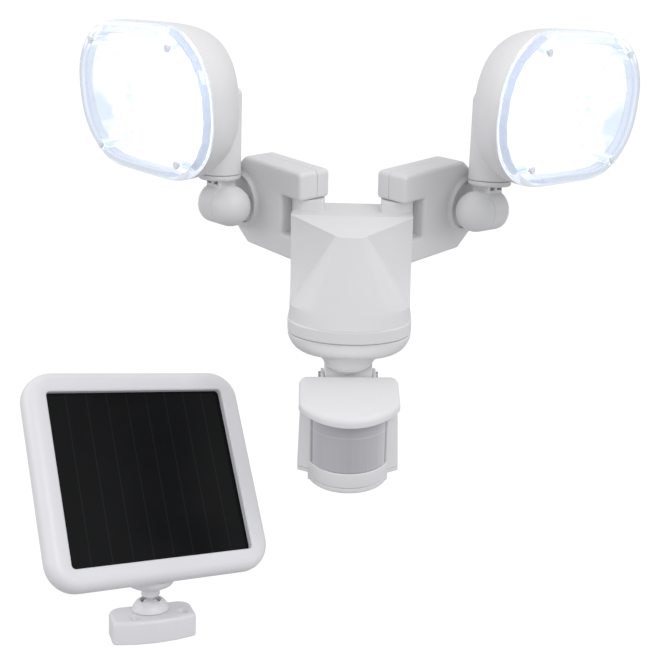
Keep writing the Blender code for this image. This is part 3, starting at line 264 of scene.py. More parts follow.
def turned(profile, steps=96, centre=(0, 0, 0), axis="z"):
    """A profile of (radius, height) points turned about an axis through centre."""
    radius, height = np.array(profile, float).T
    angle = np.linspace(0, 2 * np.pi, steps, endpoint=False)
    u, v = radius[:, None] * np.cos(angle), radius[:, None] * np.sin(angle)
    w = np.broadcast_to(height[:, None], u.shape)
    order = {"z": (u, v, w), "y": (u, w, v), "x": (w, u, v)}[axis]
    return solid(*sheet_of_quads(np.stack(order, axis=-1) + np.array(centre)))


def rounded(corners, steps=8):
    """A closed outline from (x, z, radius) corners, each corner drawn as an arc of that radius."""
    points = []
    count = len(corners)
    for i, (x, z, radius) in enumerate(corners):
        here = np.array((x, z), float)
        before = np.array(corners[i - 1][:2], float) - here
        after = np.array(corners[(i + 1) % count][:2], float) - here
        if radius <= 0:
            points.append(here)
            continue
        before /= np.linalg.norm(before)
        after /= np.linalg.norm(after)
        half = math.acos(np.clip(before @ after, -1, 1)) / 2
        middle = here + (before + after) / np.linalg.norm(before + after) * radius / math.sin(half)
        first = here + before * radius / math.tan(half) - middle
        last = here + after * radius / math.tan(half) - middle
        sweep = math.atan2(first[0] * last[1] - first[1] * last[0], first @ last)
        for turn in np.linspace(0, sweep, steps):
            c, s = math.cos(turn), math.sin(turn)
            points.append(middle + (first[0] * c - first[1] * s, first[0] * s + first[1] * c))
    return np.array(points)


def slab(outline, low, high, low_edge=0.0, high_edge=0.0, axis="y", steps=6):
    """An outline carried along an axis; at each end it draws in along a quarter circle of the edge radius."""
    turns = np.linspace(0, np.pi / 2, steps)
    rows = [(low_edge * (1 - np.sin(t)),
             low + low_edge * (1 - np.cos(t))) for t in turns] if low_edge else [(0, low)]
    rows += [(high_edge * (1 - np.cos(t)), high - high_edge * (1 - np.sin(t))) for t in turns] if high_edge \
        else [(0, high)]
    grid = []
    for amount, level in rows:
        first, second = inset(outline, amount).T
        flat = np.full(len(outline), level)
        grid.append(np.stack({"y": (first, flat, second), "z": (first, second, flat),
                              "x": (flat, first, second)}[axis], axis=-1))
    return solid(*sheet_of_quads(np.array(grid)))


def seat(origin, x, z):
    """A place in the row frame: its origin in metres, and its x, y and z axes as rows."""
    x, z = np.array(x, float), np.array(z, float)
    return np.array(origin, float), np.stack([x, np.cross(z, x), z])


WORLD_SEAT = seat((0, 0, 0), (1, 0, 0), (0, 0, 1))


def fitted(work, name, body, material, at=WORLD_SEAT, side=1, keep=False, sharp=30):
    """A work piece placed on its seat, mirrored for the left-hand side, on its body and in its finish."""
    mesh = work.data.copy()
    if not keep:
        bpy.data.objects.remove(work, do_unlink=True)
    points = np.empty(len(mesh.vertices) * 3)
    mesh.vertices.foreach_get("co", points)
    points = points.reshape(-1, 3) * (side, 1, 1)
    mesh.vertices.foreach_set("co", (at[0] + points @ at[1]).ravel())
    if side < 0:
        mesh.flip_normals()
    mesh.name = name
    mesh.materials.clear()
    mesh.materials.append(material)
    mesh.shade_smooth()
    mesh.set_sharp_from_angle(angle=math.radians(sharp))
    mesh.update()
    piece = bpy.data.objects.new(name, mesh)
    bpy.context.scene.collection.objects.link(piece)
    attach(piece, body)
    return piece


def body_plan(half, front, back, count=120):
    """Half an ellipse in front of the neck's axis and a squared half behind it."""
    angle = np.linspace(0, 2 * np.pi, count, endpoint=False)
    c, s = np.cos(angle), np.sin(angle)
    rear = s > 1e-9
    x = np.where(rear, half * np.sign(c) * np.abs(c) ** 0.4, half * c)
    return x, np.where(rear, back * np.abs(s) ** 0.4, front * s)


def faceted_row(z, count=120):
    """A level section: flat sides, a straight facet each side to the cone, and the cone's arc."""
    fall = np.clip((APEX_Z - z) / (APEX_Z - VALLEY_Z), 0, 1)
    drop = np.clip((APEX_Z - z) / (APEX_Z - SEAM_Z - BAND_RISE), 0, 1)
    x, y = body_plan(HOUSING_HALF, BAND_DEPTH, BACK_Y - NECK_Y, count)
    valley = APEX_HALF + (HOUSING_HALF - APEX_HALF) * fall, -10.2 * (1 - fall)
    nose = -12.2 - (BAND_DEPTH - 12.2) * drop
    edge = (FRONT_EDGE_Y - NECK_Y) * (1 - fall ** 4)
    half = count // 2
    x[0], y[0], x[half], y[half] = HOUSING_HALF, edge, -HOUSING_HALF, edge
    turn = np.linspace(0, np.pi, count - half - 1)
    crease = 0.5 * math.sin(math.pi * drop) * np.exp(-((np.abs(np.cos(turn)) - 0.62) / 0.12) ** 2)
    x[half + 1:] = -valley[0] * np.cos(turn)
    y[half + 1:] = valley[1] + (nose - valley[1]) * np.sin(turn) - crease
    return np.stack([x, NECK_Y + y, np.full(count, z)], axis=-1)


def band_row(z, shrink=0.0):
    x, y = body_plan(HOUSING_BAND - shrink, BAND_DEPTH - shrink, BACK_Y - NECK_Y - shrink)
    return np.stack([x, NECK_Y + y, np.full(len(x), z)], axis=-1)


def cut_by_plane(piece, point, normal):
    """Keeps what lies behind the plane and closes the cut."""
    shape = bmesh.new()
    shape.from_mesh(piece.data)
    done = bmesh.ops.bisect_plane(
        shape, geom=shape.verts[:] + shape.edges[:] + shape.faces[:], plane_co=np.array(point) * MM,
        plane_no=normal, clear_outer=True, dist=0.001 * MM)
    rim = [item for item in done["geom_cut"] if isinstance(item, bmesh.types.BMEdge)]
    bmesh.ops.edgeloop_fill(shape, edges=rim)
    bmesh.ops.recalc_face_normals(shape, faces=shape.faces)
    shape.to_mesh(piece.data)
    shape.free()
    return piece


band_top = SEAM_Z + BAND_RISE
rows = [band_row(SEAM_Z, 0.7), band_row(SEAM_Z + 0.3, 0.2), band_row(SEAM_Z + 0.8),
        band_row(band_top - 0.9), band_row(band_top - 0.3, 0.3)]
rows += [faceted_row(z) for z in (*np.linspace(band_top, APEX_Z, 30), PAD_TOP)]
housing = solid(*sheet_of_quads(np.array(rows)))
run = NECK_Y - 10.2 - FRONT_EDGE_Y
housing = cut_by_plane(housing, (0, FRONT_EDGE_Y, ROOF_Z), (0, 0, 1))
housing = cut_by_plane(housing, (0, FRONT_EDGE_Y, ROOF_Z), (0, -(APEX_Z - ROOF_Z) / run, 1))
for side in (1, -1):
    sweep = np.radians(np.linspace(180, 270, 24))
    arc = np.stack([HINGE[0] + NOTCH_REACH * np.cos(sweep), HINGE[1] + NOTCH_REACH * np.sin(sweep)], axis=1)
    notch = np.vstack([[(60, 10), (HINGE[0] - NOTCH_REACH, 10)], arc,
                       [(60, HINGE[1] - NOTCH_REACH)]]) * (side, 1)
    housing = carved(housing, slab(notch, NOTCH_LOW, NOTCH_HIGH, axis="z"))
    inner = HINGE[0] - 11.7
    pad = rounded([(side * inner, HINGE[1] + PAD_REACH, 1.5),
                   (side * (HINGE[0] + PAD_REACH), HINGE[1] + PAD_REACH, 9.0),
                   (side * (HINGE[0] + PAD_REACH), HINGE[1] - PAD_REACH, 9.0),
                   (side * inner, HINGE[1] - PAD_REACH, 1.5)])
    housing = fused(housing, slab(pad, ROOF_Z - 2, PAD_TOP, high_edge=0.8, axis="z"))
housing = fitted(housing, "lamp_housing", "mount", white_abs, sharp=12)
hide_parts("housing")

# ------------------------------------------------------------------ battery cover
# The bowl that closes the housing from below, moulded in the same ABS. It bellies out under the
# seam, turns in sharply and ends in a short cone on the sensor's neck.
COVER_FALL = (0.0, 0.4, 2.0, 4.0, 6.2, 8.0, 9.8, 11.2, 12.4, 13.8, 15.4, 16.4, 17.3, 19.0, 20.3, 20.8)
COVER_RADIUS = (39.7, 40.1, 40.1, 39.5, 38.4, 37.3, 35.7, 33.8, 31.6, 28.4, 23.7, 20.4, 19.0, 17.4, 16.6,
                16.4)
COVER_SCOOP = (0.0, 0.0, 0.05, 0.15, 0.3, 0.45, 0.58, 0.68, 0.77, 0.87, 0.96, 1.0, 0.85, 0.42, 0.1, 0.0)
SCOOP_RISE = 5.2
cover_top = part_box("battery_cover")[1][2] / MM
plan_x, plan_y = body_plan(1.0, BAND_DEPTH / HOUSING_BAND, (BACK_Y - NECK_Y) / HOUSING_BAND)
angle = np.linspace(0, 2 * np.pi, len(plan_x), endpoint=False)
cover_rows = []
for fall, radius, scoop in zip(COVER_FALL, COVER_RADIUS, COVER_SCOOP):
    round_share = np.clip((HOUSING_BAND - radius) / (HOUSING_BAND - 20.2), 0, 1) ** 0.8
    x = radius * ((1 - round_share) * plan_x + round_share * np.cos(angle))
    y = radius * ((1 - round_share) * plan_y + round_share * np.sin(angle))
    lift = SCOOP_RISE * scoop * np.clip(-np.sin(angle), 0, 1) ** 2
    cover_rows.append(np.stack([x, NECK_Y + y, cover_top - fall + lift], axis=-1))
cover = fitted(solid(*sheet_of_quads(np.array(cover_rows))), "battery_bowl", "mount",
               white_abs)
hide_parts("battery_cover")

# ------------------------------------------------------------------ arms
# Each arm is two ABS shells glued along a parting line: a thick front one with the ring that the
# knuckle turns in, and a thinner back one. The fork grips the housing's pad from above and below.
ARM_TOP, FINGER_LOW, THROAT_LOW, ARM_LOW = 63.0, 44.5, 19.1, 2.9
ARM_IN, THROAT, ARM_OUT = 9.4, 10.9, 50.3
ARM_FRONT, ARM_BACK, PARTING = 12.8, 11.8, 1.4
HUB_R, RECESS_R, RECESS_DEPTH = 21.0, 16.2, 2.2
roll_at = np.array(joint["right_knuckle_roll"]["pos_m"]) / MM
swing_at = np.array(joint["right_arm_swing"]["pos_m"]) / MM
arm_y = np.array(joint["right_knuckle_roll"]["axis"])
arm_x = np.cross(arm_y, (0, 0, 1))
HUB = np.array(((roll_at - swing_at) @ arm_x, roll_at[2]))
STANDOFF = -(roll_at - swing_at) @ arm_y - ARM_FRONT

sweep = np.radians(np.linspace(-68, 60, 10))
hub_arc = [(HUB[0] + HUB_R * math.cos(t), HUB[1] + HUB_R * math.sin(t), 3.0) for t in sweep]
arm_outline = rounded([
    (-ARM_IN, FINGER_LOW, 2.6), (THROAT, FINGER_LOW, 0.8), (THROAT, THROAT_LOW, 0.8),
    (-ARM_IN, THROAT_LOW, 2.6),
    (-ARM_IN, ARM_LOW, 2.8), (ARM_OUT - 0.5, ARM_LOW, 4.0), *hub_arc, (ARM_OUT + 1.0, ARM_TOP, 6.0),
    (-ARM_IN, ARM_TOP, 3.2)])
front_shell = slab(arm_outline, -ARM_FRONT, PARTING - 0.12, 2.6, 0.25)
collar = turned([(0, 1.0), (20.6, 1.0), (20.6, -0.05), (19.6, -0.35), (18.9, -0.9), (18.4, -1.5),
                 (17.9, -1.85),
                 (17.2, -1.9), (0, -1.9)], centre=(HUB[0], -ARM_FRONT, HUB[1]), axis="y")
hollow = turned([(0, RECESS_DEPTH), (RECESS_R, RECESS_DEPTH), (RECESS_R, -1.3), (RECESS_R + 0.7, -2.2),
                 (0, -2.2)],
                centre=(HUB[0], -ARM_FRONT, HUB[1]), axis="y")
front_shell = carved(fused(front_shell, collar), hollow)
back_shell = slab(arm_outline, PARTING + 0.12, ARM_BACK, 0.25, 2.6)
for side, label in ((1, "right"), (-1, "left")):
    arm_seat = seat(joint[label + "_arm_swing"]["pos_m"],
                    np.cross(side * np.array(joint[label + "_knuckle_roll"]["axis"]), (0, 0, 1)), (0, 0, 1))
    arm_front = fitted(front_shell, label + "_arm_front_shell", label + "_arm", white_abs,
                       arm_seat, side, keep=True)
    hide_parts(label + "_arm_front")
    arm_back = fitted(back_shell, label + "_arm_back_shell", label + "_arm", white_abs,
                      arm_seat, side, keep=True)
    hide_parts(label + "_arm_back")
for used in (front_shell, back_shell):
    bpy.data.objects.remove(used, do_unlink=True)

# ------------------------------------------------------------------ knuckles
# A round-ended bar across the arm. Its rear end is one with the disc in the arm's ring; the barrel
# and the front cap turn on a bolt through it, on a ring of fine clutch teeth, and carry the stem.
BAR_R, BAR_HALF, CLUTCH, CAP_AT = 13.5, 13.1, 6.2, 10.4
flange_at, bolt_at = (np.array(joint[name]["pos_m"]) for name in ("right_head_swivel", "right_knuckle_tilt"))
FLANGE_Z = np.linalg.norm(flange_at - bolt_at) / MM
FLANGE_R = 14.2
TOOTH_DEPTH, TEETH = 0.8, 44


def dome(start, sign, edge=0.35):
    """Half of the bar: a short cylinder with a softened rim at start and a hemisphere at its far end."""
    turns = np.radians(np.linspace(0, 88, 22))
    profile = [(0, start), (BAR_R - edge, start), (BAR_R, start + edge)]
    profile += [(BAR_R * math.cos(t), BAR_HALF + BAR_R * math.sin(t)) for t in turns]
    return [(radius, sign * height) for radius, height in profile]


rear = turned(dome(CLUTCH, 1), axis="x")
disc = turned([(0, STANDOFF - 0.8), (RECESS_R - 1.6, STANDOFF - 0.8), (RECESS_R - 0.5, STANDOFF + 0.2),
               (RECESS_R - 0.5, STANDOFF + RECESS_DEPTH - 0.3), (0, STANDOFF + RECESS_DEPTH - 0.3)], axis="y")
web = slab(rounded([(CLUTCH + 0.3, 4, 0.5), (CLUTCH + 8.5, 4, 0.5), (CLUTCH + 8.5, STANDOFF, 0.5),
                    (CLUTCH + 0.3, STANDOFF, 0.5)]), -8, 8, 1.0, 1.0, axis="z")
rear = fused(rear, web, disc)
angle = np.linspace(0, 2 * np.pi, TEETH * 6, endpoint=False)
tooth = TOOTH_DEPTH * (0.5 + 0.5 * np.sign(np.sin(TEETH * angle)))
levels = ((0.0, -CAP_AT, 0), (BAR_R - 0.35, -CAP_AT, 0), (BAR_R, -CAP_AT + 0.35, 0),
          (BAR_R, CLUTCH - 1.6, 0), (BAR_R - 0.1, CLUTCH - 1.5, 1), (BAR_R - 0.2, CLUTCH - 0.3, 1),
          (0.0, CLUTCH - 0.3, 0))
barrel = np.array([np.stack([np.full(len(angle), x), (radius - tooth * notched) * np.cos(angle),
                             (radius - tooth * notched) * np.sin(angle)], axis=-1) for radius, x,
                             notched in levels])
barrel = solid(*sheet_of_quads(barrel))
neck = slab(rounded([(-9.6, -6.8, 1.2), (5.7, -6.8, 1.2), (5.7, 6.8, 1.2), (-9.6, 6.8, 1.2)]), 4,
            FLANGE_Z - 2, axis="z")
flange = turned([(0, FLANGE_Z - 3.5), (12.9, FLANGE_Z - 3.5), (FLANGE_R - 0.5, FLANGE_Z - 3.0),
                 (FLANGE_R, FLANGE_Z - 2.2), (FLANGE_R, FLANGE_Z - 0.6), (FLANGE_R - 0.3, FLANGE_Z - 0.15),
                 (7.4, FLANGE_Z - 0.15), (7.4, FLANGE_Z + 6), (0, FLANGE_Z + 6)])
slots = [slab(rounded([(low, -9, 0.4), (high, -9, 0.4), (high, 9, 0.4), (low, 9, 0.4)]), 13.8, FLANGE_Z - 3.4,
              axis="z")
         for low, high in ((-8.2, -3.4), (-0.6, 4.2))]
barrel = carved(fused(barrel, neck, flange), *slots)
front_cap = turned(dome(CAP_AT + 0.25, -1), axis="x")
for side, label in ((1, "right"), (-1, "left")):
    tilt_x = joint[label + "_knuckle_tilt"]["axis"]
    roll_y = side * np.array(joint[label + "_knuckle_roll"]["axis"])
    roll_seat = seat(joint[label + "_knuckle_roll"]["pos_m"], tilt_x, np.cross(tilt_x, roll_y))
    tilt_seat = seat(joint[label + "_knuckle_tilt"]["pos_m"], tilt_x,
                     side * np.array(joint[label + "_head_swivel"]["axis"]))
    for work, name, body, node, at in (
            (rear, "_knuckle_rear", "_knuckle", "_knuckle_base", roll_seat),
            (barrel, "_knuckle_middle", "_barrel", "_knuckle_barrel", tilt_seat),
            (front_cap, "_knuckle_front_cap", "_barrel", "_knuckle_cap", tilt_seat)):
        part = fitted(work, label + name, label + body, white_abs, at, side, keep=True)
        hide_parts(label + node)
for used in (rear, barrel, front_cap):
    bpy.data.objects.remove(used, do_unlink=True)

# ------------------------------------------------------------------ lamp heads: bowl and stem
# A deep ABS bowl behind a flat oval mouth, one moulding with the round stem that stands on the
# knuckle's flange. The bowl narrows sideways faster than in height, into the stem's front.
LENS_HALF, LENS_TALL, LENS_POWER = 82.0, 47.2, 2.36
STEM_R, STEM_TOP, HEAD_UP, HEAD_OUT = 14.3, 60.0, 49.9, 56.7
BOWL_DEEP, BOWL_WALL, RIM_Y = 62.0, 2.4, 3.0
HEAD_LEAN, HEAD_TURN = 4.9, 3.0


def oval(shrink=0.0, count=160):
    """The lens outline: an oval of a set power whose top and bottom are softly clipped flat."""
    angle = np.linspace(0, 2 * np.pi, count, endpoint=False)
    c, s = np.cos(angle), np.sin(angle)
    x = LENS_HALF * np.sign(c) * np.abs(c) ** (2 / LENS_POWER)
    z = 1.085 * LENS_TALL * np.sign(s) * np.abs(s) ** (2 / LENS_POWER)
    z = z / (1 + (np.abs(z) / LENS_TALL) ** 30) ** (1 / 30)
    return inset(np.stack([x, z], axis=1), shrink)


def oval_row(y, shrink=0.0, across=1.0, up=1.0):
    x, z = oval(shrink).T
    return np.stack([x * across, np.full(len(x), y), z * up], axis=-1)


def head_row(row):
    """A row of the face's own frame: leant back, set out from the stem's foot, and turned about the stem."""
    lean, turn = math.radians(HEAD_LEAN), math.radians(HEAD_TURN)
    x, y, z = np.moveaxis(row, -1, 0)
    out = y * math.cos(lean) - z * math.sin(lean) - HEAD_OUT
    up = y * math.sin(lean) + z * math.cos(lean) + HEAD_UP
    return np.stack([x * math.cos(turn) - out * math.sin(turn), x * math.sin(turn) + out * math.cos(turn),
                     up],
                    axis=-1)


def bowl_rows(shrink, stop):
    rows = []
    for step in np.sin(np.linspace(0, np.pi / 2, 34)) * stop:
        share = 1 - step ** 1.8
        rows.append(oval_row(RIM_Y + 0.3 + step * BOWL_DEEP, shrink, share, math.sqrt(share)))
    return rows


outside, inside = bowl_rows(0.0, 0.985), bowl_rows(BOWL_WALL, 0.8)
bowl = solid(*sheet_of_quads(head_row(np.array(inside[::-1] + [oval_row(RIM_Y + 0.3, 0.5)] + outside[1:]))))
turns = np.radians(np.linspace(84, 0, 16))
stem = turned([(0, STEM_TOP), *[(STEM_R * math.cos(t),
                                 STEM_TOP - 0.55 * STEM_R * (1 - math.sin(t))) for t in turns],
               (STEM_R, 0.7), (STEM_R - 0.5, 0.2), (0, 0.2)])

# A D-shaped joint line near the top of the stem, where a plug closes the way that the wires take.
PLUG_AT, PLUG_WIDE, PLUG_LOW, PLUG_HIGH, LINE_R = 174.0, 34.0, 35.0, 52.0, 0.6
bend = np.linspace(-90, 90, 26)
reach = PLUG_WIDE * 0.5 + PLUG_WIDE * 0.5 * np.cos(np.radians(bend)) ** 0.8
around = np.append(PLUG_AT + PLUG_WIDE * 0.5 - reach, np.full(12, PLUG_AT + PLUG_WIDE * 0.5 - reach[0]))
rise = PLUG_LOW + (PLUG_HIGH - PLUG_LOW) * (0.5 + 0.5 * np.sin(np.radians(bend)))
rise = np.append(rise, np.linspace(PLUG_HIGH, PLUG_LOW, 14)[1:-1])
outward = np.stack([np.cos(np.radians(around)), np.sin(np.radians(around)), 0 * around], axis=-1)
path = STEM_R * outward + np.stack([0 * rise, 0 * rise, rise], axis=-1)
along = np.roll(path, -1, axis=0) - np.roll(path, 1, axis=0)
sideways = np.cross(along / np.linalg.norm(along, axis=1, keepdims=True), outward)
lap = np.linspace(0, 2 * np.pi, 8, endpoint=False)[None, :, None]
groove = path[:, None] + LINE_R * (np.cos(lap) * outward[:, None] + np.sin(lap) * sideways[:, None])
head_shell = carved(fused(bowl, stem), solid(*sheet_of_quads(groove, ring=True)))

# The lens is a clear acrylic tray with a thick rolled rim; the reflector and the board behind it
# are white, and lit by rows of small white lamps.
LENS_FRONT, LENS_WALL = -6.5, 2.0
LENS_PROFILE = ((3.0, 0.0), (0.5, 0.05), (-1.5, 0.35), (-3.4, 1.1), (-4.9, 2.3), (-5.9, 3.9), (-6.4, 6.0),
                (-6.5, 8.5))
lens = [oval_row(y, shrink) for y, shrink in LENS_PROFILE] + [oval_row(LENS_FRONT - 0.3, 26.0)]
lens_inside = [oval_row(LENS_FRONT + LENS_WALL - 0.3, 26.0), oval_row(LENS_FRONT + LENS_WALL, 9.5),
               oval_row(LENS_FRONT + LENS_WALL + 0.6, 6.2), oval_row(-2.6, 4.0), oval_row(-0.5, 2.9),
               oval_row(3.0, 2.4)]
lens_shell = solid(*sheet_of_quads(head_row(np.array(lens[::-1] + lens_inside[::-1]))))


def clear_acrylic():
    """Moulded acrylic: water clear, with a cold tint where it is thick and a polished surface, and a faint painted
    glow of its own.
    """
    material, tree = blank_material("clear_acrylic")
    place = add_node(tree, "ShaderNodeTexCoord").outputs["Object"]
    ripple = add_node(tree, "ShaderNodeTexNoise", {"Vector": place}, Scale=1 / (9 * MM), Detail=1.0)
    bump = add_node(tree, "ShaderNodeBump", {"Height": ripple.outputs["Fac"]}, Strength=0.2,
                    Distance=0.1 * MM)
    # The emission is painted light: the acrylic of the lens and its posts glows faintly, as if lit, though it is
    # no lamp.
    shader = add_node(tree, "ShaderNodeBsdfPrincipled", {"Normal": bump.outputs["Normal"]}, IOR=1.49,
                      Roughness=0.03, Base_Color=colour("#eef1fb"), Transmission_Weight=1.0,
                      Emission_Color=colour("#dfe9f2"), Emission_Strength=0.14)
    add_node(tree, "ShaderNodeOutputMaterial", {0: shader.outputs[0]})
    return material


def mapped(work, u_of, v_of):
    """Gives a work piece a UV map from functions of its points, in millimetres."""
    mesh = work.data
    points = np.empty(len(mesh.vertices) * 3)
    mesh.vertices.foreach_get("co", points)
    points = points.reshape(-1, 3) / MM
    corner = np.empty(len(mesh.loops), dtype=np.int32)
    mesh.loops.foreach_get("vertex_index", corner)
    uv = np.stack([u_of(points), v_of(points)], axis=1)[corner]
    mesh.uv_layers.new(name="pattern").data.foreach_set("uv", uv.ravel())
    return work


def glowing(name, strength, streak, patch, chip_pitch=13.0):
    """White enamel in the light of its lamps. It glows; rows of faint streaks cross it where the small lamps
    mirror in it, and it is a dull grey-green where the light falls off towards the outer side.
    """
    material, tree = blank_material(name)
    place = add_node(tree, "ShaderNodeUVMap").outputs["UV"]
    split = add_node(tree, "ShaderNodeSeparateXYZ", {0: place})
    row = add_node(tree, "ShaderNodeMath", {0: split.outputs["Y"], 1: chip_pitch / 2}, operation="PINGPONG")
    stretch = add_node(tree, "ShaderNodeMapping", {"Vector": place, "Scale": (0.16, 0.55, 1.0)})
    scrawl = add_node(tree, "ShaderNodeTexNoise", {"Vector": stretch.outputs[0]}, Scale=1.0, Detail=3.0,
                      Roughness=0.7)
    cloud = add_node(tree, "ShaderNodeTexNoise", {"Vector": place}, Scale=1 / 26.0, Detail=2.0)
    near_row, sharp, dull, outer = (
        add_node(tree, "ShaderNodeMapRange", {"Value": value, "From Min": low, "From Max": high},
                 interpolation_type="SMOOTHSTEP")
        for value, low, high in ((row.outputs[0], 2.6, 0.6), (scrawl.outputs["Fac"], 0.54, 0.60),
                                 (cloud.outputs["Fac"], 0.47, 0.60), (split.outputs["X"], 22.0, 52.0)))
    streaks = add_node(tree, "ShaderNodeMath", {0: near_row.outputs[0], 1: sharp.outputs[0]},
                       operation="MULTIPLY")
    patches = add_node(tree, "ShaderNodeMath", {0: dull.outputs[0], 1: outer.outputs[0]},
                       operation="MULTIPLY")
    first = add_node(tree, "ShaderNodeMix", {0: streaks.outputs[0], 6: (1, 1, 1, 1), 7: colour(streak)},
                     data_type="RGBA")
    second = add_node(tree, "ShaderNodeMix", {0: patches.outputs[0], 6: first.outputs[2], 7: colour(patch)},
                      data_type="RGBA")
    shader = add_node(tree, "ShaderNodeBsdfPrincipled", {"Emission Color": second.outputs[2]}, Roughness=0.4,
                      Base_Color=colour("#8c8c8e"), Emission_Strength=strength)
    add_node(tree, "ShaderNodeOutputMaterial", {0: shader.outputs[0]})
    return material


def head_map(work):
    """Maps a head piece by its own width and height, in millimetres from the lens's middle."""
    return mapped(work, lambda p: p[:, 0] - HEAD_OUT * math.sin(math.radians(HEAD_TURN)),
                  lambda p: p[:, 2] - HEAD_UP)


acrylic = clear_acrylic()
lit_reflector = glowing("lit_reflector", 1.10, "#dfe6f2", "#b4c0bf", 9.0)
lit_board = glowing("lit_board", 1.12, "#c9d3e4", "#b4c2be")
lit_chip = glowing("lit_phosphor", 1.2, "#eef2fa", "#d5dedd")

REFLECTOR = ((3.4, 6.2), (5.5, 7.0), (8.5, 9.4), (12.0, 13.0), (14.6, 17.4))
reflector_rows = [oval_row(y, shrink) for y, shrink in REFLECTOR]
reflector_rows += [oval_row(y + 0.6, shrink + 0.9) for y, shrink in REFLECTOR[::-1]]
reflector_rows = np.array(reflector_rows)
reflector = head_map(solid(*sheet_of_quads(head_row(reflector_rows), ring=True)))
board = head_map(solid(*sheet_of_quads(head_row(np.array([oval_row(15.2, 15.0), oval_row(16.6, 15.0)])))))
chip_grid = [(x, z) for z in np.arange(-24, 25, 8.0) for x in np.arange(-48, 49, 8.0)
             if (abs(x) / 60) ** 2.3 + (abs(z) / 34) ** 2.3 < 1]
CHIP_PROFILE = ((2.2, 15.0), (2.2, 13.2), (1.6, 12.2), (0.6, 11.8))
POST_X, POST_Z, POST_R, POST_BORE, POST_FRONT, POST_BACK = 51.4, 33.9, 3.4, 1.6, -4.3, 8.5
POST_PROFILE = ((POST_BORE, POST_FRONT), (POST_R, POST_FRONT), (POST_R, POST_BACK), (POST_BORE, POST_BACK))


def face_studs(places, profile, steps, ring=False):
    """One mesh of equal round studs: a (radius, depth) profile turned about each place on the face."""
    lap = np.linspace(0, 2 * np.pi, steps, endpoint=False)
    points, faces, start = [], [], 0
    for x, z in places:
        grid = np.array([np.stack([x + radius * np.cos(lap), np.full(steps, y), z + radius * np.sin(lap)],
                                  axis=-1)
                         for radius, y in profile])
        stud, quads = sheet_of_quads(head_row(grid), ring)
        points.append(stud)
        faces += [[i + start for i in quad] for quad in quads]
        start += len(stud)
    return solid(np.vstack(points), faces)


chips = head_map(face_studs(chip_grid, CHIP_PROFILE, 10))
lens_posts = face_studs([(sx * POST_X, sz * POST_Z) for sx in (1, -1) for sz in (1, -1)], POST_PROFILE, 24,
                        ring=True)

for side, label in ((1, "right"), (-1, "left")):
    swivel = joint[label + "_head_swivel"]
    head_seat = seat(swivel["pos_m"], joint[label + "_knuckle_tilt"]["axis"], side * np.array(swivel["axis"]))
    body = label + "_head"
    for work, name, slot, material, node in (
            (head_shell, "_head_shell", "white_plastic", white_abs, "_head_housing"),
            (lens_shell, "_clear_lens", "clear_plastic", acrylic, "_lens"),
            (reflector, "_lit_reflector", "mirror_plastic", lit_reflector, "_reflector"),
            (board, "_lamp_board", "led_board", lit_board, "_led_board"),
            (chips, "_lamp_chips", "led_board", lit_chip, None),
            (lens_posts, "_lens_posts", "clear_plastic", acrylic, None)):
        part = fitted(work, label + name, body, material, head_seat, side, keep=True, sharp=24)
        if node:
            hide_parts(label + node)
for used in (head_shell, lens_shell, reflector, board, chips, lens_posts):
    bpy.data.objects.remove(used, do_unlink=True)

# ------------------------------------------------------------------ motion sensor
# An ABS case under a sloped hood, hung on the neck's cross block. The milky polyethylene window
# is a thin curved sheet with a grid of small moulded lenses; a base plate closes the case.
SENSOR_HALF, HOOD_R, HOOD_FRONT, HOOD_BACK = 32.3, 36.6, -58.2, -13.0
HOOD_TOP_BACK, HOOD_TOP_FRONT, HOOD_LOW = 7.2, -4.2, -10.6
EYE_R, EYE_Y, EYE_LOW, WING_Y, WING_SLANT = 26.6, -25.6, -45.4, -34.3, 4.5
CASE_LOW, WING_LOW, BAND_LOW, BASE_LOW = -52.2, -55.2, -56.0, -60.3
NECK_TOP = 10.7
tilt_axis = joint["sensor_tilt"]["axis"]
sensor_seat = seat(joint["sensor_tilt"]["pos_m"], tilt_axis, (0, 0, 1))

slant = math.degrees(math.acos(SENSOR_HALF / HOOD_R))
sweep = np.radians(np.linspace(slant - 180, -slant, 40))
hood_front = [(HOOD_R * math.cos(t), HOOD_FRONT + HOOD_R + HOOD_R * math.sin(t),
               5.0 * (t in (sweep[0], sweep[-1])))
              for t in sweep]
hood_plan = rounded([(SENSOR_HALF, HOOD_BACK, 5.0), (-SENSOR_HALF, HOOD_BACK, 5.0), *hood_front])
HOOD_EDGE, HOOD_CROWN, LIP_RISE = 3.6, 1.5, 3.0
turns = np.linspace(0, np.pi / 2, 8)
hood_rows = []
for shrink in (0.6, 0.0):
    x, y = inset(hood_plan, shrink).T
    hood_rows.append(np.stack([x, y, HOOD_LOW + 0.6 - shrink + LIP_RISE * (x / SENSOR_HALF) ** 2], axis=-1))
for t in turns:
    x, y = inset(hood_plan, HOOD_EDGE * (1 - math.cos(t))).T
    top = HOOD_TOP_BACK + (HOOD_TOP_FRONT - HOOD_TOP_BACK) * (HOOD_BACK - y) / (HOOD_BACK - HOOD_FRONT)
    top -= HOOD_CROWN * (x / SENSOR_HALF) ** 2
    hood_rows.append(np.stack([x, y, top - HOOD_EDGE * (1 - math.sin(t))], axis=-1))
hood = solid(*sheet_of_quads(np.array(hood_rows)))
for end in (1, -1):
    ear = rounded([(5.5, 4.6, 5.0), (5.5, -6.0, 5.0), (HOOD_BACK - 2, -6.0, 0), (HOOD_BACK - 2, 3.4, 0)])
    low, high = sorted((end * 16.1, end * 18.2))
    hood = fused(hood, slab(ear, low, high, 0.4, 0.4, axis="x"))
hood = fitted(hood, "sensor_hood_shell", "sensor", white_abs, sensor_seat)
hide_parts("sensor_hood")


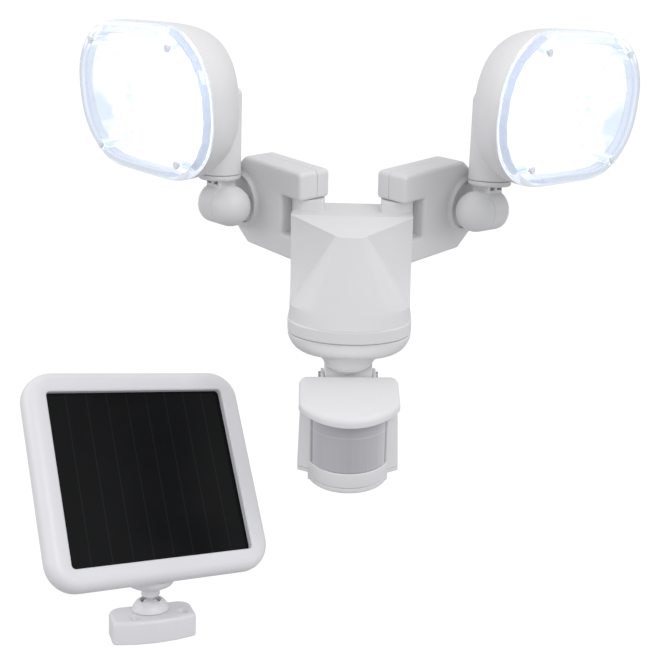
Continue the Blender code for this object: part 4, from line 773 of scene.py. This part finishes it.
def bow(radius, back, count=48):
    """The plan of the band under the window: an arc in front, closed straight across at the back."""
    reach = math.acos(np.clip((EYE_Y - back) / radius, -1, 1)) if back < EYE_Y else math.pi / 2
    sweep = np.linspace(-math.pi / 2 - reach, -math.pi / 2 + reach, count)
    return np.stack([radius * np.cos(sweep), EYE_Y + radius * np.sin(sweep)], axis=1)


def wing_plan(half):
    """The plan of the side wings: their front faces slant back towards the outer edges."""
    return rounded([(half, HOOD_BACK - 0.3, 2.0), (-half, HOOD_BACK - 0.3, 2.0),
                    (-half, WING_Y + WING_SLANT, 1.4),
                    (-24.5, WING_Y - 0.2, 2.0), (24.5, WING_Y - 0.2, 2.0), (half, WING_Y + WING_SLANT, 1.4)])


wing_rows = []
for level, half, shrink in ((HOOD_LOW + 3.0, 31.2, 0.0), (HOOD_LOW - 0.3, 31.5, 0.0),
                            (CASE_LOW + 0.3, 33.0, 0.0),
                            (CASE_LOW + 0.05, 33.0, 0.3)):
    plan = inset(wing_plan(half), shrink)
    wing_rows.append(np.stack([plan[:, 0], plan[:, 1], np.full(len(plan), level)], axis=-1))
case = solid(*sheet_of_quads(np.array(wing_rows)))
window = slab(rounded([(23.6, WING_Y - 1, 0), (23.6, WING_Y + 4, 0), (-23.6, WING_Y + 4, 0),
                       (-23.6, WING_Y - 1, 0)]),
              EYE_LOW, HOOD_LOW + 4, axis="z")
band = slab(bow(EYE_R + 0.3, WING_Y + 0.5), BAND_LOW + 0.1, EYE_LOW - 0.3, 0.3, 0.7, axis="z")
case = fused(carved(case, window), band)
case = fitted(case, "sensor_case_shell", "sensor", white_abs, sensor_seat)
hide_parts("sensor_case")

wings = slab(wing_plan(33.1), WING_LOW, CASE_LOW - 0.2, 1.0, 0.3, axis="z")
foot_plate = slab(bow(EYE_R + 0.1, WING_Y + 3), BASE_LOW, BAND_LOW - 0.25, 1.8, 0.35, axis="z")
keel = slab(rounded([(22.5, WING_Y - 0.1, 1.0), (22.5, -17.0, 1.0), (-22.5, -17.0, 1.0),
                     (-22.5, WING_Y - 0.1, 1.0)]),
            BASE_LOW, CASE_LOW - 1, 1.0, axis="z")
base = fused(wings, keel, foot_plate)
dial_at = [((np.array(joint[name]["pos_m"]) / MM) - sensor_seat[0] / MM) @ sensor_seat[1].T
           for name in ("time_dial_turn", "range_dial_turn")]
cutters = [turned([(0, 3.2), (4.8, 3.2), (4.8, -1.2), (0, -1.2)], 40,
                  centre=(at[0], at[1], BASE_LOW)) for at in dial_at]
cutters.append(slab(rounded([(-6, -25, 0.8), (6, -25, 0.8), (6, -20, 0.8), (-6, -20, 0.8)]), BASE_LOW - 1,
                    BASE_LOW + 3, axis="z"))
base = fitted(carved(base, *cutters), "sensor_base_plate", "sensor", white_abs, sensor_seat)
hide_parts("sensor_base")

# The window's own map runs round the arc and up, so that its lens cells can be drawn on it.
EYE_HALF_ANGLE, EYE_TOP, EYE_WALL = 69.0, HOOD_LOW + 2.2, 1.4
turns = np.radians(np.linspace(-90 - EYE_HALF_ANGLE, -90 + EYE_HALF_ANGLE, 61))
outer = np.stack([EYE_R * np.cos(turns), EYE_Y + EYE_R * np.sin(turns)], axis=1)
inner = np.stack([(EYE_R - EYE_WALL) * np.cos(turns), EYE_Y + (EYE_R - EYE_WALL) * np.sin(turns)],
                 axis=1)[::-1]
eye = slab(np.vstack([outer, inner]), EYE_LOW + 0.3, EYE_TOP, axis="z")


def repeated_lines(tree, value, count, width):
    """1 on thin lines at every whole step of value times count, and 0 between them."""
    scaled = add_node(tree, "ShaderNodeMath", {0: value, 1: count}, operation="MULTIPLY")
    near = add_node(tree, "ShaderNodeMath", {0: scaled.outputs[0], 1: 0.5}, operation="PINGPONG")
    return add_node(tree, "ShaderNodeMath", {0: near.outputs[0], 1: width}, operation="LESS_THAN")


def milky_window():
    """Moulded polyethylene: milky, dim inside, with a grid of thin ridges between its small lenses. Round the arc
    its grey is painted lighter towards the ends, with a painted highlight band and a thin line of painted shade
    close to each end.
    """
    material, tree = blank_material("milky_polyethylene")
    place = add_node(tree, "ShaderNodeUVMap").outputs["UV"]
    split = add_node(tree, "ShaderNodeSeparateXYZ", {0: place})
    ridges = []
    for source, count in (("X", 13.0), ("Y", 1.5)):
        ridges.append(repeated_lines(tree, split.outputs[source], count, 0.035 if source == "X" else 0.02))
    under = add_node(tree, "ShaderNodeMath", {0: split.outputs["Y"], 1: 0.66}, operation="LESS_THAN")
    faint = add_node(tree, "ShaderNodeMath", {0: ridges[0].outputs[0], 1: under.outputs[0]},
                     operation="MULTIPLY")
    weak = add_node(tree, "ShaderNodeMath", {0: faint.outputs[0], 1: 0.45}, operation="MULTIPLY")
    grid = add_node(tree, "ShaderNodeMath", {0: weak.outputs[0], 1: ridges[1].outputs[0]},
                    operation="MAXIMUM")
    # Painted light and shade round the arc: the grey lightens from the middle towards the ends, brightens into a
    # painted highlight band, then drops to a thin painted shade line close to each end.
    middle = add_node(tree, "ShaderNodeMath", {0: split.outputs["X"], 1: 0.5}, operation="SUBTRACT")
    off = add_node(tree, "ShaderNodeMath", {0: middle.outputs[0]}, operation="ABSOLUTE")
    ramp = add_node(tree, "ShaderNodeValToRGB", {"Fac": off.outputs[0]})
    tone_with_painted_shading = ((0.0, "#b4b4b7"), (0.30, "#bebec2"), (0.435, "#d0d0d3"), (0.45, "#98989d"), (0.47, "#bab6ba"),
             (0.5, "#c2bec1"))
    while len(ramp.color_ramp.elements) < len(tone_with_painted_shading):
        ramp.color_ramp.elements.new(0.5)
    for element, (position, code) in zip(ramp.color_ramp.elements, tone_with_painted_shading):
        element.position, element.color = position, colour(code)
    lighter = add_node(tree, "ShaderNodeMix", {0: grid.outputs[0], 6: ramp.outputs["Color"],
                                               7: (0.06, 0.06, 0.065, 1)}, data_type="RGBA", blend_type="ADD")
    bump = add_node(tree, "ShaderNodeBump", {"Height": grid.outputs[0]}, Strength=0.5, Distance=0.2 * MM)
    shader = add_node(tree, "ShaderNodeBsdfPrincipled",
                      {"Base Color": lighter.outputs[2], "Normal": bump.outputs["Normal"]}, Roughness=0.38,
                      IOR=1.51)
    add_node(tree, "ShaderNodeOutputMaterial", {0: shader.outputs[0]})
    return material


span = math.radians(EYE_HALF_ANGLE) * 2
eye = mapped(eye, lambda p: 0.5 + (np.arctan2(p[:, 1] - EYE_Y, p[:, 0]) + np.pi / 2) / span,
             lambda p: (p[:, 2] - EYE_LOW) / (EYE_TOP - EYE_LOW))
eye = fitted(eye, "sensor_window", "sensor", milky_window(), sensor_seat)
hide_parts("sensor_lens")

neck_ring = turned([(0, NECK_TOP - 4.6), (12.0, NECK_TOP - 4.6), (12.0, NECK_TOP - 1.9),
                    (15.2, NECK_TOP - 1.7),
                    (15.5, NECK_TOP - 1.4), (15.5, NECK_TOP - 0.25), (15.2, NECK_TOP), (0, NECK_TOP)])
cross_block = turned([(0, -15.7), (9.7, -15.7), (10.4, -15.0), (10.4, 15.0), (9.7, 15.7), (0, 15.7)],
                     axis="x")
rear_block = slab(rounded([(-15.7, -6, 1.5), (15.7, -6, 1.5), (15.7, 10.2, 3.0), (-15.7, 10.2, 3.0)]), 0,
                  NECK_TOP - 1.9, axis="z")
sensor_neck = fused(cross_block, rear_block, neck_ring)
sensor_neck = fitted(sensor_neck, "sensor_neck_block", "sensor_swivel", white_abs,
                     sensor_seat)
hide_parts("sensor_neck")

# ------------------------------------------------------------------ solar panel
# A separate panel: a broad soft-edged ABS frame round a laminated cell, a tray behind it, and a
# short stem in a ball joint on a screwed foot. The plastic is whiter and glossier than the lamp's.
PANEL_WIDE, PANEL_TALL, PANEL_CORNER, PANEL_SHIFT = 165.0, 147.0, 21.0, -1.7
WINDOW_WIDE, WINDOW_TALL, WINDOW_CORNER, CELL_MIDDLE = 135.4, 118.4, 3.0, 1.7
BEZEL_REACH = 16.0
PANEL_TURN, PANEL_LEAN, PANEL_ROLL = 50.0, -39.1, -19.5
FRAME_PROFILE = ((BEZEL_REACH, -3.4), (15.4, -4.0), (14.4, -4.3), (11.0, -4.9), (7.5, -5.0), (4.6, -4.5),
                 (2.3, -3.2),
                 (0.8, -1.2), (0.1, 1.2), (0.0, 4.5), (0.5, 6.9), (6.0, 6.9), (6.0, 3.4), (BEZEL_REACH, 3.4),
                 (BEZEL_REACH, 0.2))
gloss_abs = moulded("panel_abs", "#e3e3e5", "#e0e0e3", 0.32, 0.5, 0.012)


def rotation(axis, degrees):
    return np.array(Matrix.Rotation(math.radians(degrees), 3, axis))


panel_axes = (rotation("Y", PANEL_ROLL) @ rotation("X", PANEL_LEAN) @ rotation("Z", PANEL_TURN)).T
cell_low, cell_high = (np.array(corner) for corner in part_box("solar_cell"))
panel_origin = (cell_low + cell_high) / 2 - CELL_MIDDLE * MM * panel_axes[1]
panel_seat = (panel_origin, panel_axes)


def soft_rectangle(wide, tall, corner, steps=14):
    x, z = wide / 2, tall / 2
    return rounded([(x, z, corner), (-x, z, corner), (-x, -z, corner), (x, -z, corner)], steps)


def panel_row(shrink, y):
    """A loop of the frame: its corner radius falls from the outer edge's to the window's."""
    share = shrink / BEZEL_REACH
    wide = PANEL_WIDE + (WINDOW_WIDE - PANEL_WIDE) * share
    tall = PANEL_TALL + (WINDOW_TALL - PANEL_TALL) * share
    plan = soft_rectangle(wide, tall, PANEL_CORNER + (WINDOW_CORNER - PANEL_CORNER) * share)
    return np.stack([plan[:, 0] + PANEL_SHIFT, np.full(len(plan), y), plan[:, 1]], axis=-1)


bezel = solid(*sheet_of_quads(np.array([panel_row(*pair) for pair in FRAME_PROFILE]), ring=True))
bezel = fitted(bezel, "panel_frame_shell", "panel", gloss_abs, panel_seat)
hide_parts("panel_frame")


def laminated_cell():
    """A silicon cell under a clear laminate: almost black, glossy, with fine silver lines."""
    material, tree = blank_material("laminated_cell")
    place = add_node(tree, "ShaderNodeUVMap").outputs["UV"]
    split = add_node(tree, "ShaderNodeSeparateXYZ", {0: place})
    line = repeated_lines(tree, split.outputs["X"], 9.0, 0.018)
    clouds = add_node(tree, "ShaderNodeTexNoise", {"Vector": place}, Scale=9.0, Detail=4.0)
    ramp = add_node(tree, "ShaderNodeValToRGB", {"Fac": clouds.outputs["Fac"]})
    for stop, code in zip(ramp.color_ramp.elements, ("#040506", "#0a0b0d")):
        stop.color = colour(code)
    mix = add_node(tree, "ShaderNodeMix", {0: line.outputs[0], 6: ramp.outputs["Color"],
                                           7: colour("#1d1f23")},
                   data_type="RGBA")
    shader = add_node(tree, "ShaderNodeBsdfPrincipled", {"Base Color": mix.outputs[2]}, Roughness=0.28,
                      Specular_IOR_Level=0.12)
    add_node(tree, "ShaderNodeOutputMaterial", {0: shader.outputs[0]})
    return material


cell = slab(soft_rectangle(WINDOW_WIDE + 6, WINDOW_TALL + 6, 4.5), 0.3, 3.2)
cell = mapped(cell, lambda p: p[:, 0] / WINDOW_WIDE + 0.5, lambda p: p[:, 2] / WINDOW_TALL + 0.5)
cell.data.transform(Matrix.Translation((PANEL_SHIFT * MM, 0, 0)))
cell = fitted(cell, "laminated_solar_cell", "panel", laminated_cell(), panel_seat)
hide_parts("solar_cell")

ball_seat = seat(joint["panel_pan"]["pos_m"], joint["panel_tilt"]["axis"], joint["panel_pan"]["axis"])
STEM_LONG = 24.0
TRAY = ((7.2, 1.5), (9.5, 2.0), (12.0, 4.0), (15.0, 8.0), (17.2, 12.5), (19.4, 16.5), (20.6, 18.5),
        (21.2, 21.0))
tray_rows = [np.stack([plan[:, 0] + PANEL_SHIFT, np.full(len(plan), y), plan[:, 1]], axis=-1) for y,
             shrink in TRAY
             for plan in [soft_rectangle(PANEL_WIDE - 2 * shrink, PANEL_TALL - 2 * shrink, PANEL_CORNER)]]
tray = solid(*sheet_of_quads(np.array(tray_rows)))
boss = turned([(0, 17.0), (9.0, 17.0), (12.0, 17.6), (14.6, 19.0), (16.4, 21.5), (17.5, 36.0), (0, 36.0)])
points = np.empty(len(boss.data.vertices) * 3)
boss.data.vertices.foreach_get("co", points)
points = ball_seat[0] + points.reshape(-1, 3) @ ball_seat[1]
boss.data.vertices.foreach_set("co", ((points - panel_origin) @ panel_axes.T).ravel())
boss = cut_by_plane(boss, (0, 7.4, 0), (0, -1, 0))
tray = fitted(fused(tray, boss), "panel_tray", "panel", gloss_abs, panel_seat)
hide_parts("panel_back")

panel_stem = turned([(0, STEM_LONG - 0.5), (5.3, STEM_LONG - 0.5), (5.6, 18.0), (6.2, 12.5), (6.3, 11.4),
                     (5.9, 10.7),
                     (3.2, 9.7), (2.7, 8.0), (2.7, -4.0), (0, -4.0)])
panel_stem = fitted(panel_stem, "panel_post", "panel", gloss_abs, ball_seat)
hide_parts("panel_stem")
COLLAR_PROFILE = np.array(((7.0, 7.5), (7.6, 7.75), (8.6, 7.3), (10.0, 6.2), (11.2, 4.6), (12.0, 2.9),
                           (12.6, 1.3), (9.0, 1.3),
                 (8.3, 3.4), (7.0, 5.4)))
angle = np.linspace(0, 2 * np.pi, 72, endpoint=False)
ring_rows = np.stack([COLLAR_PROFILE[:, :1] * np.cos(angle), COLLAR_PROFILE[:, :1] * np.sin(angle),
                      np.broadcast_to(COLLAR_PROFILE[:, 1:], (len(COLLAR_PROFILE), len(angle)))], axis=-1)
collar = fitted(solid(*sheet_of_quads(ring_rows, ring=True)), "ball_collar_ring", "mount",
                gloss_abs, ball_seat)
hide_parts("ball_collar")

FOOT_HALF, FOOT_DEEP, FOOT_TOP = 28.0, 16.0, 1.0
foot_plan = rounded([(FOOT_HALF, 9, 9), (FOOT_HALF, -17, 3), (FOOT_HALF * 0.5, -20.6, 14), (0, -21.8, 20),
                     (-FOOT_HALF * 0.5, -20.6, 14), (-FOOT_HALF, -17, 3), (-FOOT_HALF, 9, 9)])
foot = slab(foot_plan, FOOT_TOP - FOOT_DEEP, FOOT_TOP, 1.2, 2.4, axis="z")
holes = [turned([(0, -12.8), (10.6, -12.8), (10.6, 2.5), (0, 2.5)], 48)]
for x, y in ((-12.5, -13.5), (19.5, -10.5)):
    holes.append(turned([(0, FOOT_TOP + 1), (4.5, FOOT_TOP + 1), (4.1, FOOT_TOP - 0.6), (2.3, FOOT_TOP - 3.4),
                         (2.3, -FOOT_DEEP - 1), (0, -FOOT_DEEP - 1)], 40, centre=(x, y, 0)))
foot = fitted(carved(foot, *holes), "panel_foot_block", "mount", gloss_abs, ball_seat)
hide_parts("panel_foot")

# ------------------------------------------------------------------ pieces that keep their CAD shape
# The plate, pins, screws, boards, cells, dials and seals, each in its own finish.


def metal(name, code, roughness):
    """Zinc-plated steel: bright, with the faint cloudiness that barrel plating leaves."""
    material, tree = blank_material(name)
    place = add_node(tree, "ShaderNodeTexCoord").outputs["Object"]
    cloud = add_node(tree, "ShaderNodeTexNoise", {"Vector": place}, Scale=1 / (3 * MM), Detail=4.0)
    polish = add_node(tree, "ShaderNodeMapRange",
                      {"Value": cloud.outputs["Fac"], "To Min": roughness, "To Max": roughness + 0.2})
    shader = add_node(tree, "ShaderNodeBsdfPrincipled", {"Roughness": polish.outputs["Result"]}, Metallic=1.0,
                      Base_Color=colour(code))
    add_node(tree, "ShaderNodeOutputMaterial", {0: shader.outputs[0]})
    return material


finishes = {
    "white_plastic": white_abs,
    "panel_plastic": gloss_abs,
    "steel": metal("zinc_plated_steel", "#c9cbd0", 0.25),
    "rubber": moulded("black_elastomer", "#2a2a2c", "#232325", 0.7, 0.6),
    "battery_wrap": moulded("shrink_sleeve", "#3f6fae", "#38639c", 0.35, 2.0),
    "circuit_board": moulded("solder_mask", "#1f6b43", "#1a5c39", 0.4, 1.2),
    "led_board": lit_chip, "mirror_plastic": lit_chip, "clear_plastic": acrylic,
    "frosted_plastic": white_abs, "solar_cell": gloss_abs,
}
screw_lacquer = moulded("white_screw_lacquer", "#eef1f7", "#e6eaf2", 0.35, 1.0)
seal_silicone = moulded("clear_silicone", "#e4e8ee", "#dde2ea", 0.35, 0.8)
slots = {entry["node"]: entry["material_slot"] for entry in frame["record"]["subparts"]}
for name, node in frame["nodes"].items():
    finish = seal_silicone if name.endswith("lens_seal") else finishes[slots[name]]
    finish = screw_lacquer if name.endswith("er_screw") else finish
    node.data.materials.clear()
    node.data.materials.append(finish)
